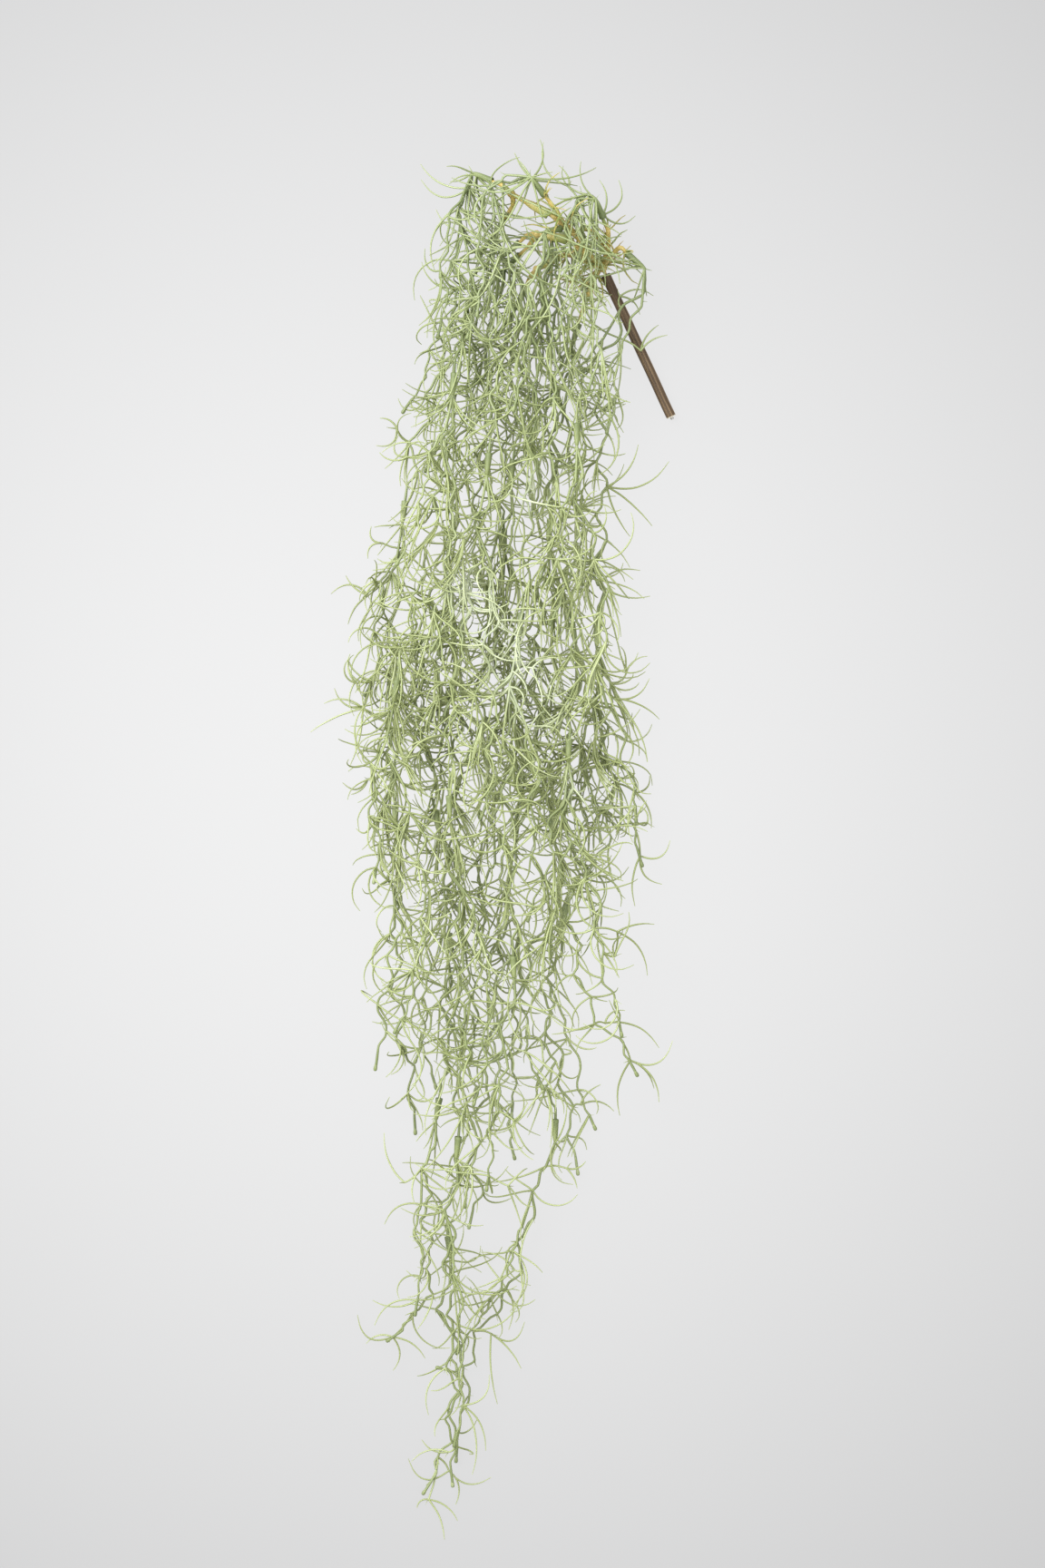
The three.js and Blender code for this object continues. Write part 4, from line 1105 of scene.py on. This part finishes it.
def growthTree():
    tree = bpy.data.node_groups.new("sprayGrowth", "GeometryNodeTree")
    add = functools.partial(addNode, tree)
    face = tree.interface
    face.new_socket("Geometry", in_out="OUTPUT", socket_type="NodeSocketGeometry")
    face.new_socket("Geometry", in_out="INPUT", socket_type="NodeSocketGeometry")
    for name, kind in treeInputs.items():
        face.new_socket(name, in_out="INPUT", socket_type="NodeSocket" + kind)
    given = add("NodeGroupInput").outputs
    read = {name: add("GeometryNodeInputNamedAttribute", {"data_type": kind, "Name": name})
            for name, kind in (("part", "INT"), ("thickness", "FLOAT"), ("heading", "FLOAT_VECTOR"))}
    isPart = {
        name: add("FunctionNodeCompare", {
            "data_type": "INT", "operation": "EQUAL", "B_INT": code, "A_INT": read["part"]})
        for name, code in partCodes.items()}

    # Strands: a smooth curve through the kinks, wandering a little, swept with its own thickness
    curve = add("GeometryNodeMeshToCurve", {"Mesh": given["Geometry"]})
    curve = add("GeometryNodeCurveSplineType", {"spline_type": "CATMULL_ROM", "Curve": curve})
    curve = add("GeometryNodeSetSplineResolution", {
        "Geometry": curve, "Resolution": given["Steps per kink"]})
    curve = add("GeometryNodeResampleCurve", {"mode": "EVALUATED", "Curve": curve})
    position = add("GeometryNodeInputPosition")
    fineness = add("ShaderNodeMath", {
        "operation": "DIVIDE", "Value": 1, "Value_001": given["Waver length"]})
    waves = add("ShaderNodeTexNoise", {"Detail": 1, "Vector": position, "Scale": fineness})
    centred = add("ShaderNodeVectorMath", {
        "operation": "SUBTRACT", "Vector_001": (0.5, 0.5, 0.5), "Vector": waves.outputs["Color"]})
    flat = add("ShaderNodeVectorMath", {
        "operation": "MULTIPLY", "Vector_001": waverSpread, "Vector": centred})
    shift = add("ShaderNodeVectorMath", {"operation": "SCALE", "Vector": flat, "Scale": given["Waver"]})
    curve = add("GeometryNodeSetPosition", {"Geometry": curve, "Offset": shift})
    place = add("ShaderNodeSeparateXYZ", {"Vector": position})
    height = add("ShaderNodeMath", {
        "operation": "MAXIMUM", "Value": place.outputs["Z"], "Value_001": read["thickness"]})
    onTable = add("ShaderNodeCombineXYZ", {"X": place.outputs["X"], "Y": place.outputs["Y"], "Z": height})
    curve = add("GeometryNodeSetPosition", {"Geometry": curve, "Position": onTable})
    ring = add("GeometryNodeCurvePrimitiveCircle", {"Radius": 1, "Resolution": given["Sides"]})
    swept = add("GeometryNodeCurveToMesh", {
        "Fill Caps": True, "Curve": curve, "Profile Curve": ring, "Scale": read["thickness"]})

    # Spurs: short bent thorns thrown round each whorl, never aimed into the table
    hubs = add("GeometryNodeMeshToPoints", {"Mesh": given["Geometry"], "Selection": isPart["hub"]})
    copies = add("GeometryNodeDuplicateElements", {
        "domain": "POINT", "Geometry": hubs, "Amount": given["Spurs per whorl"]})
    toss = add("FunctionNodeRandomValue", {
        "data_type": "FLOAT_VECTOR", "Min": (-1, -1, -1), "Max": (1, 1, 1), "Seed": given["Seed"]})
    forward = add("ShaderNodeVectorMath", {
        "operation": "SCALE", "Vector": read["heading"], "Scale": given["Spur lean"]})
    aim = add("ShaderNodeVectorMath", {"operation": "ADD", "Vector": toss, "Vector_001": forward})
    aim = add("ShaderNodeVectorMath", {"operation": "NORMALIZE", "Vector": aim})
    aimed = add("ShaderNodeSeparateXYZ", {"Vector": aim})
    room = add("ShaderNodeMath", {
        "operation": "DIVIDE", "Value": place.outputs["Z"], "Value_001": given["Spur length"]})
    lowest = add("ShaderNodeMath", {"operation": "MULTIPLY", "Value_001": -spur["dip"], "Value": room})
    slope = add("ShaderNodeMath", {
        "operation": "MAXIMUM", "Value": aimed.outputs["Z"], "Value_001": lowest})
    aim = add("ShaderNodeCombineXYZ", {"X": aimed.outputs["X"], "Y": aimed.outputs["Y"], "Z": slope})
    aim = add("FunctionNodeAlignRotationToVector", {"axis": "Z", "Vector": aim})
    size = add("FunctionNodeRandomValue", {
        "data_type": "FLOAT", "Min_001": spur["sizes"][0], "Max_001": spur["sizes"][1],
        "Seed": given["Seed"]})
    size = add("ShaderNodeMath", {
        "operation": "MULTIPLY", "Value": size, "Value_001": given["Spur length"]})
    thorn = add("GeometryNodeCurveQuadraticBezier", {
        "Resolution": spur["steps"], "Start": (0, 0, 0), "Middle": (0, 0, spur["bend"]),
        "End": (spur["aside"], 0, 1)})
    share = add("GeometryNodeSplineParameter").outputs["Factor"]
    thorn = add("GeometryNodeStoreNamedAttribute", {
        "data_type": "FLOAT", "Name": "tipward", "Geometry": thorn, "Value": share})
    slimming = add("ShaderNodeMath", {
        "operation": "MULTIPLY_ADD", "Value_001": spur["tip"] - 1, "Value_002": 1, "Value": share})
    slimness = add("ShaderNodeMath", {
        "operation": "DIVIDE", "Value": given["Spur radius"], "Value_001": given["Spur length"]})
    slimming = add("ShaderNodeMath", {"operation": "MULTIPLY", "Value": slimming, "Value_001": slimness})
    outline = add("GeometryNodeCurvePrimitiveCircle", {"Radius": 1, "Resolution": spur["sides"]})
    thorn = add("GeometryNodeCurveToMesh", {
        "Fill Caps": True, "Curve": thorn, "Profile Curve": outline, "Scale": slimming})
    spurs = add("GeometryNodeInstanceOnPoints", {
        "Points": copies, "Instance": thorn, "Rotation": aim, "Scale": size})

    # Sockets and the rounded ends of free pegs stand where the plan marks them
    facing = add("FunctionNodeAlignRotationToVector", {"axis": "Z", "Vector": read["heading"]})
    fittings = []
    for part, source in (("socket", "Socket"), ("bulb", "Bulb")):
        shape = add("GeometryNodeObjectInfo", {"Object": given[source]})
        fittings.append(add("GeometryNodeInstanceOnPoints", {
            "Points": given["Geometry"], "Selection": isPart[part],
            "Instance": shape.outputs["Geometry"], "Rotation": facing}))
    joined = add("GeometryNodeJoinGeometry")
    for shape in fittings + [swept, spurs]:
        tree.links.new(shape.outputs[0], joined.inputs[0])
    result = add("GeometryNodeRealizeInstances", {"Geometry": joined})
    above = add("ShaderNodeVectorMath", {
        "operation": "MAXIMUM", "Vector_001": tableFloor, "Vector": position})
    result = add("GeometryNodeSetPosition", {"Geometry": result, "Position": above})
    result = add("GeometryNodeSetShadeSmooth", {"Geometry": result})
    result = add("GeometryNodeSetMaterial", {"Geometry": result, "Material": given["Finish"]})
    add("NodeGroupOutput", {"Socket_0": result})
    return tree


def closedMesh(name, shape):
    bmesh.ops.recalc_face_normals(shape, faces=shape.faces)
    mesh = bpy.data.meshes.new(name)
    shape.to_mesh(mesh)
    shape.free()
    return mesh


# Turns a profile of (radius, height) pairs about Z; a radius of 0 closes a pole. The sleeve colour
# goes from its first share at the lowest point to its second at the highest
def turnedMesh(name, profile, sides, sleeve=(0, 0)):
    shape = bmesh.new()
    rings = []
    for radius, height in profile:
        if radius == 0:
            rings.append([shape.verts.new((0, 0, height * metre))])
        else:
            rings.append([shape.verts.new((radius * math.cos(math.tau * i / sides) * metre,
                                           radius * math.sin(math.tau * i / sides) * metre,
                                           height * metre)) for i in range(sides)])
    for low, high in zip(rings, rings[1:]):
        for i in range(sides):
            corners = [low[i % len(low)], low[(i + 1) % len(low)],
                       high[(i + 1) % len(high)], high[i % len(high)]]
            shape.faces.new(list(dict.fromkeys(corners)))
    mesh = closedMesh(name, shape)
    low = min(height for _, height in profile) * metre
    high = max(height for _, height in profile) * metre
    shares = [between(sleeve, (vertex.co.z - low) / (high - low)) for vertex in mesh.vertices]
    mesh.attributes.new("sleeve", "FLOAT", "POINT").data.foreach_set("value", shares)
    return mesh


socketLip = 0.25  # rounding of the edge at its mouth


# A socket tapers from its mouth to its foot and is open down to its depth
def socketProfile(size):
    bore, mouth, foot, length = size["bore"], size["mouth"], size["foot"], size["length"]
    return ((0, size["depth"]), (bore, size["depth"]), (bore, 0.2),  # bore
            (bore + socketLip, 0), (mouth - socketLip, 0), (mouth, socketLip),  # rounded lip
            (mouth * 0.97, 2), (mouth * 0.9, 2.6), (mouth * 0.86, length * 0.4),  # collar and waist
            (foot * 1.35, length * 0.75), (foot, length - 0.5),  # foot
            (foot * 0.7, length), (0, length))


bulb = {"radius": 1.15, "sides": 10, "sleeve": (0.2, 0.5)}
bulbProfile = [(bulb["radius"] * share, height) for share, height in (
    (0, -4.4), (0.6, -4.2), (0.7, -3.6), (0.92, -2.4), (1, -1.4), (0.86, -0.5), (0.5, -0.08), (0, 0))]


class Sketch:
    # Collects strands and marks of one piece, and makes the mesh that the tree reads
    def __init__(self, draw):
        self.draw = draw
        self.points, self.edges, self.rows = [], [], []

    def strand(self, points, radii, tipward, sleeve=None):
        tone = self.draw()
        for i, (spot, radius) in enumerate(zip(points, radii)):
            if i:
                self.edges.append((len(self.points) - 1, len(self.points)))
            self.points.append(lifted(spot, radius))
            self.rows.append((partCodes["strand"], radius * metre, tone, tipward[i],
                              sleeve[i] if sleeve else 0, tuple(up)))

    def mark(self, part, spot, heading):
        self.points.append(spot)
        self.rows.append((partCodes[part], 0, self.draw(), 0, 0, tuple(heading)))

    def mesh(self, name):
        mesh = bpy.data.meshes.new(name)
        mesh.from_pydata([spot * metre for spot in self.points], self.edges, [])
        columns = list(zip(*self.rows))
        mesh.attributes.new("part", "INT", "POINT").data.foreach_set("value", columns[0])
        for column, attributeName in enumerate(("thickness", "tone", "tipward", "sleeve"), 1):
            mesh.attributes.new(attributeName, "FLOAT", "POINT").data.foreach_set("value", columns[column])
        headings = [part for heading in columns[5] for part in heading]
        mesh.attributes.new("heading", "FLOAT_VECTOR", "POINT").data.foreach_set("vector", headings)
        return mesh


# Grows a piece from its sketch and keeps the plain mesh
def grownPiece(name, sketch, settings):
    source = newObject(name + ".plan", sketch.mesh(name + ".plan"))
    modifier = source.modifiers.new("growth", "NODES")
    modifier.node_group = growth
    for item in growth.interface.items_tree:
        if item.in_out == "INPUT" and item.name in settings:
            value = settings[item.name]
            modifier[item.identifier] = value * metre if item.name in lengthInputs else value
    graph = bpy.context.evaluated_depsgraph_get()
    mesh = bpy.data.meshes.new_from_object(source.evaluated_get(graph), depsgraph=graph)
    source.modifiers.remove(modifier)
    bpy.data.objects.remove(source)
    for spent in ("part", "thickness", "heading"):
        if spent in mesh.attributes:
            mesh.attributes.remove(mesh.attributes[spent])
    mesh.name = name
    return newObject(name, mesh)


# The sprays, and the shapes that the tree sets on them
growth = growthTree()
socketShape, forkSocketShape, bulbShape = [
    newObject(name, turnedMesh(name, profile, form["sides"], form["sleeve"]))
    for name, profile, form in (("spraySocket", socketProfile(socket), socket),
                                ("forkSocket", socketProfile(forkSocket), forkSocket),
                                ("pegBulb", bulbProfile, bulb))]
looks = {
    "seed": 3000,
    "mainRadius": 0.84,
    "sideRadius": 0.74,
    "winding": (0.4, 1.4),
    "windingPlace": 0.25,  # share of a step where a rib swings out, and from its end where it swings back
    "ribThinning": 0.24,  # share of the radius that a rib loses on its way
    "peg": (0.7, 0.8, 0.8),  # radii of its neck and its two ends
    "pegSleeve": (0.4, 0.5, 0.5),
    "pegShort": 1,  # left for the bulb at its end
    "fingerRadius": 0.58,
    "fingerStep": 2,  # every second planned point is drawn
    "slimness": (0.85, 1),  # share of its radius that a finger has in the low tail, and in the full heap
    "tipRadius": 0.18,
    "tipPower": 2.5,  # how late a finger begins to thin
    "stalk": (0.62, 0.58, 0.54, 0.5),  # radii at four points, and how far each has a tip's colour
    "stalkTipward": (0.1, 0.15, 0.2, 0.25),
    "stalkStep": 4,
    "ribSleeve": 0.3,
}


def taperedStrand(sketch, points, radius, sleeve=None):
    shares = [i / (len(points) - 1) for i in range(len(points))]
    radii = [between((radius, looks["tipRadius"]), share ** looks["tipPower"]) for share in shares]
    sketch.strand(points, radii, shares, sleeve)


def fingerStrand(sketch, path, radius):
    full = min(1, heapAt(path[0].y)[2] / sideRib["fullHeap"])
    taperedStrand(sketch, path[::looks["fingerStep"]], radius * between(looks["slimness"], full))


# Between its kinks a rib winds a little to both sides
def windingPath(rib, draw):
    points, place = list(rib["points"]), looks["windingPlace"]
    for i in range(len(points) - 2, rib["first"] - 1, -1):
        start, end = rib["points"][i], rib["points"][i + 1]
        reach = between(looks["winding"], draw()) * (1 if draw() < 0.5 else -1)
        aside = sideOf(directionTo(start, end)) * reach
        points[i + 1:i + 1] = [start.lerp(end, place) + aside, start.lerp(end, 0.5),
                               start.lerp(end, 1 - place) - aside]
    return points


def ribStrand(sketch, rib, radius):
    at, direction = rib["end"]
    points = windingPath(rib, sketch.draw)
    count = len(points)
    radii = [radius * (1 - looks["ribThinning"] * i / count) for i in range(count - 1)]
    points += [along(at, direction, -peg["neck"]), along(at, direction, rib["reach"] - looks["pegShort"])]
    sleeve = [looks["ribSleeve"]] * (count - 1) + list(looks["pegSleeve"])
    sketch.strand(points, radii + list(looks["peg"]), [0] * len(points), sleeve)
    if rib["isFree"]:
        level = Vector((direction.x, direction.y, 0)).normalized()
        tip = lifted(along(at, direction, rib["reach"]), bulb["radius"])
        sketch.mark("bulb", tip, level if tip.z < socket["length"] else direction)


def sprayPiece(plan, number):
    sketch = Sketch(makeDraw(looks["seed"] + number))
    for i, rib in enumerate(plan["ribs"]):
        ribStrand(sketch, rib, looks["sideRadius" if i else "mainRadius"])
    for stalk in plan["stalks"] + [stalk[::looks["stalkStep"]] for stalk in plan["fillStalks"]]:
        sketch.strand(stalk, looks["stalk"], looks["stalkTipward"])
    for path in plan["fingers"]:
        fingerStrand(sketch, path, looks["fingerRadius"])
    for path, radius in plan["fillers"]:
        fingerStrand(sketch, path, radius)
    for spot, heading in plan["hubs"]:
        sketch.mark("hub", spot, heading)
    sketch.mark("socket", *plan["start"])
    piece = grownPiece(plan["name"] + ".moss", sketch, {
        **strands, "Seed": strands["Seed"] + number, "Socket": socketShape, "Bulb": bulbShape,
        "Finish": mossFinish})
    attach(piece, "root")
    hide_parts(plan["name"])
    return piece


sprayPieces = [sprayPiece(plan, number) for number, plan in enumerate(sprayPlans)]
print("moss bunch:", len(sprayPieces), "spray pieces,",
      sum(len(piece.data.polygons) for piece in sprayPieces), "faces")


# The mustard arms and forks
armStrands = {
    "Steps per kink": 6,
    "Sides": 12,
    "Waver": 0.35,
    "Waver length": 7,
    "Spurs per whorl": 3,
    "Spur length": 8,
    "Spur radius": 0.6,
    "Spur lean": 0.8,
    "Seed": 7,
}
armLooks = {"seed": 71, "forkSeed": 81, "rootRadius": 1, "endSleeve": 0.7}
knot = {"radius": 3.2, "length": 8.6, "bulge": (0.15, 0.7, 0.95, 1, 0.9, 0.6, 0.12)}
knuckle = {"places": (-1, -0.7, 0, 0.7, 1), "bulge": (0.15, 0.7, 0.98, 0.7, 0.15)}  # shares of its radius
# Green and mustard blades that stand round the knot and at places along the arms
tuft = {
    "atKnot": 22,
    "onArms": 3,
    "places": (6, 14, 22),  # mm along each arm
    "radius": 0.55,
    "length": (10, 27),
    "lean": (0.3, 1.9),
    "hook": (0.4, 1.6),
    "wavedShare": 0.3,
    "level": 0.3,
    "tries": 6,
    "lowest": 2,  # mm over the table
    "step": 4,  # every fourth planned point is drawn
    "sleeve": (0.5, 1.25),
}


def armStrand(sketch, path):
    points = [Vector(spot) for spot, _ in path]
    radii = [radius for _, radius in path]
    sleeve = [0] * (len(points) - 1) + [armLooks["endSleeve"]]
    sketch.strand(points, radii, [0] * len(points), sleeve)


def armPiece(name, sketch, node, socketHelper):
    piece = grownPiece(name, sketch, {
        **armStrands, "Socket": socketHelper, "Bulb": bulbShape, "Finish": mustardFinish})
    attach(piece, "root")
    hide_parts(node)
    return piece


def addTuft(sketch, spot, heading, draw, count):
    for _ in range(count):
        length = between(tuft["length"], draw())
        path = growFinger(spot, heading, draw, length, tuft, lambda path: path[-1].z > tuft["lowest"])
        if path:
            points = path[::tuft["step"]]
            taperedStrand(sketch, points, tuft["radius"], [between(tuft["sleeve"], draw())] * len(points))


def framePiece():
    draw = makeDraw(armLooks["seed"])
    sketch = Sketch(draw)
    root = along(stemEnd, stemWay, -stem["rootReach"])
    sketch.strand([root, root.lerp(Vector(head), 0.5), Vector(head)], [armLooks["rootRadius"]] * 3, [0] * 3)
    for path in framePaths:
        armStrand(sketch, path)

    # The knot where all arms leave the stem
    count = len(knot["bulge"])
    start = along(Vector(head), stemWay, -knot["length"] / 2)
    sketch.strand([along(start, stemWay, knot["length"] * i / (count - 1)) for i in range(count)],
                  [knot["radius"] * share for share in knot["bulge"]], [0] * count)
    addTuft(sketch, Vector(head), stemWay, draw, tuft["atKnot"])
    for path in framePaths:
        for place in tuft["places"]:
            spot, heading = placeOn([point for point, _ in path], place)
            sketch.mark("hub", spot, heading)
            addTuft(sketch, spot, heading, draw, tuft["onArms"])
    return armPiece("branch_frame.arms", sketch, "branch_frame", forkSocketShape)


def forkPiece(plan):
    sketch = Sketch(makeDraw(armLooks["forkSeed"] + len(plan["name"])))
    for path in plan["paths"]:
        armStrand(sketch, path)
    centres = [along(plan["junction"], plan["direction"], knuckleRadius * place)
               for place in knuckle["places"]]
    sketch.strand(centres, [knuckleRadius * share for share in knuckle["bulge"]], [0] * len(centres))
    sketch.mark("socket", plan["mouth"], plan["direction"])
    return armPiece(plan["name"] + ".arms", sketch, plan["name"], forkSocketShape)


framePiece()
for plan in forkPlans:
    forkPiece(plan)
print("moss bunch: arms and forks")


# The stem
grooves = {
    "sides": 84,
    "rings": 46,
    "lobeDepth": 0.1,
    "lobeTwist": (0.5, 9),  # radians that the lobes sway along the stem, and how often
    "fineDepth": 0.03,
    "fineCount": 21,
    "fineTwist": (3, 5),
    "wander": 0.06,
    "wanderTurns": 17,
    "lip": ((0, 0.35), (0.3, 0.08)),  # distance from the cut, and how far the edge is drawn in there
    "headLip": 0.4,
    "bevel": 0.15,  # of the bore's edge
    "margin": 0.8,  # from each end to the first groove ring
    "boreShown": 6,
}


# The outside's radius at an angle round the stem, and a share of the way along it
def stemRadius(angle, share):
    sway, turns = grooves["lobeTwist"]
    lobe = math.cos(angle * stem["lobes"] + sway * math.sin(share * turns))
    sway, turns = grooves["fineTwist"]
    fine = math.sin(angle * grooves["fineCount"] + sway * math.sin(share * turns))
    wander = math.sin(share * grooves["wanderTurns"] + angle)
    return (stem["radius"] + grooves["lobeDepth"] * lobe + grooves["fineDepth"] * fine
            + grooves["wander"] * wander)


def sheathPiece():
    side = sideOf(stemWay)
    top = side.cross(stemWay) * -1
    length = (stemEnd - stemStart).length
    shape = bmesh.new()
    grooveShadeLayer = shape.verts.layers.float.new("groove")
    cutLayer = shape.verts.layers.float.new("cut")
    uvLayer = shape.loops.layers.uv.new("alongStem")
    sides, bore, bevel, margin = grooves["sides"], stem["bore"], grooves["bevel"], grooves["margin"]

    # Rings from inside the bore at the cut end, round its lip, along the outside and in at the head:
    # distance along the stem, radius where it is fixed, whether it is cut plastic, and inset
    stations = [(grooves["boreShown"], bore, 1, 0), (bevel, bore, 1, 0), (0, bore + bevel, 1, 0)]
    stations += [(distance, None, 1, -inset) for distance, inset in grooves["lip"]]
    stations += [(margin + (length - margin * 2) * i / grooves["rings"], None, 0, 0)
                 for i in range(grooves["rings"] + 1)]
    stations += [(length, None, 0, -grooves["headLip"]), (length, bore, 0, 0),
                 (length - grooves["boreShown"], bore, 0, 0)]
    rings = []
    for distance, fixed, cut, inset in stations:
        ring = []
        for i in range(sides):
            angle = math.tau * i / sides
            radius = fixed or stemRadius(angle, distance / length) + inset
            vert = shape.verts.new((along(stemStart, stemWay, distance) + side * (radius * math.cos(angle))
                                    + top * (radius * math.sin(angle))) * metre)
            # Painted shade: low in the grooves, high on the ridges
            raised = 0 if fixed else (radius - stem["radius"]) / (grooves["lobeDepth"] * 2)
            vert[grooveShadeLayer] = raised + 0.5
            vert[cutLayer] = cut
            ring.append(vert)
        rings.append((distance, ring))
    around = math.tau * stem["radius"] * metre / sides
    for (lowAt, low), (highAt, high) in zip(rings, rings[1:]):
        for i in range(sides):
            face = shape.faces.new((low[i], low[(i + 1) % sides], high[(i + 1) % sides], high[i]))
            face.smooth = True
            spots = ((i, lowAt), (i + 1, lowAt), (i + 1, highAt), (i, highAt))
            for loop, (step, distance) in zip(face.loops, spots):
                loop[uvLayer].uv = (step * around, distance * metre)
    # The bore ends in a floor at each end, so that the sheath stays closed
    for _, ring in (rings[0], rings[-1]):
        shape.faces.new(ring)
    mesh = closedMesh("stem_sheath.grooved", shape)
    mesh.materials.append(barkFinish)
    piece = newObject(mesh.name, mesh)
    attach(piece, "root")
    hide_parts("stem_sheath")
    return piece


wireEnd = {
    "shown": 5.6,  # how much of the wire is made inside the bore
    "sides": 20,
    "rounding": ((0.6, 0.05), (0.92, 0.2), (1, 0.5)),  # share of its radius, and distance from the end
}


def wirePiece():
    radius = stem["wireRadius"]
    length = stem["wireProud"] + wireEnd["shown"]
    rounding = [(radius * share, height) for share, height in wireEnd["rounding"]]
    profile = [(0, 0)] + rounding + [(radius, length), (0, length)]
    mesh = turnedMesh("stem_core_wire.end", profile, wireEnd["sides"])
    turn = up.rotation_difference(stemWay).to_matrix().to_4x4()
    turn.translation = along(stemStart, stemWay, -stem["wireProud"]) * metre
    mesh.transform(turn)
    mesh.materials.append(steelFinish)
    for polygon in mesh.polygons:
        polygon.use_smooth = True
    piece = newObject(mesh.name, mesh)
    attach(piece, "root")
    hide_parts("stem_core_wire")
    return piece


sheathPiece()
wirePiece()
for helper in (socketShape, forkSocketShape, bulbShape):
    bpy.data.objects.remove(helper)
print("moss bunch: stem")


# Pale table and soft studio light. The table glows with painted light, brightest round one spot, which
# keeps shadows faint
studio = {
    "table": "#252526",
    "surface": {"Roughness": 0.9, "Specular IOR Level": 0.1},
    "paintedGlow": (0.825, 0.415),  # at its brightest spot, and far away
    "brightest": (-60, 60, 0),
    "paintedGlowReach": 1100,
    "tableSize": 8,  # metres
    "skyColour": (0.96, 0.98, 1, 1),
    "skyStrength": 1.15,
    "lampSize": 1.6,  # metres
    # place in metres and power in watts
    "lamps": {"keyLight": ((-1.1, 0.9, 1.7), 90), "fillLight": ((1.3, -0.6, 1.5), 12)},
}


def tableMaterial():
    material, add = newMaterial("paleTable")
    place = add("ShaderNodeTexCoord").outputs["Object"]
    # Painted light: the table glows, brightest round one spot and fainter far off, over a dark base colour,
    # so that shadows on it stay faint
    distance = add("ShaderNodeVectorMath", {
        "operation": "DISTANCE", "Vector_001": Vector(studio["brightest"]) * metre, "Vector": place})
    paintedGlow = add("ShaderNodeMapRange", {
        "interpolation_type": "SMOOTHSTEP", "From Max": studio["paintedGlowReach"] * metre,
        "To Min": studio["paintedGlow"][0], "To Max": studio["paintedGlow"][1], "Value": distance.outputs["Value"]})
    shader = add("ShaderNodeBsdfPrincipled", {
        "Base Color": linear(studio["table"]), **studio["surface"], "Emission Color": (1, 1, 1, 1),
        "Emission Strength": paintedGlow})
    add("ShaderNodeOutputMaterial", {"Surface": shader})
    return material


half = studio["tableSize"] / 2
tableMesh = bpy.data.meshes.new("table")
tableMesh.from_pydata([(-half, -half, 0), (half, -half, 0), (half, half, 0), (-half, half, 0)], [],
                      [(0, 1, 2, 3)])
tableMesh.materials.append(tableMaterial())
table = newObject("table", tableMesh)

# Square lamps that face the middle of the table
for name, (place, power) in studio["lamps"].items():
    light = bpy.data.lights.new(name, "AREA")
    light.size = studio["lampSize"]
    light.energy = power
    lamp = newObject(name, light)
    lamp.location = place
    lamp.rotation_euler = (-Vector(place)).to_track_quat("-Z", "Y").to_euler()
    lamp.visible_camera = False
world = bpy.data.worlds.new("studioAir")
world.use_nodes = True
background = world.node_tree.nodes["Background"].inputs
background["Color"].default_value = studio["skyColour"]
background["Strength"].default_value = studio["skyStrength"]
bpy.context.scene.world = world
bpy.context.scene.view_settings.view_transform = "Standard"
print("moss bunch: table and lights")
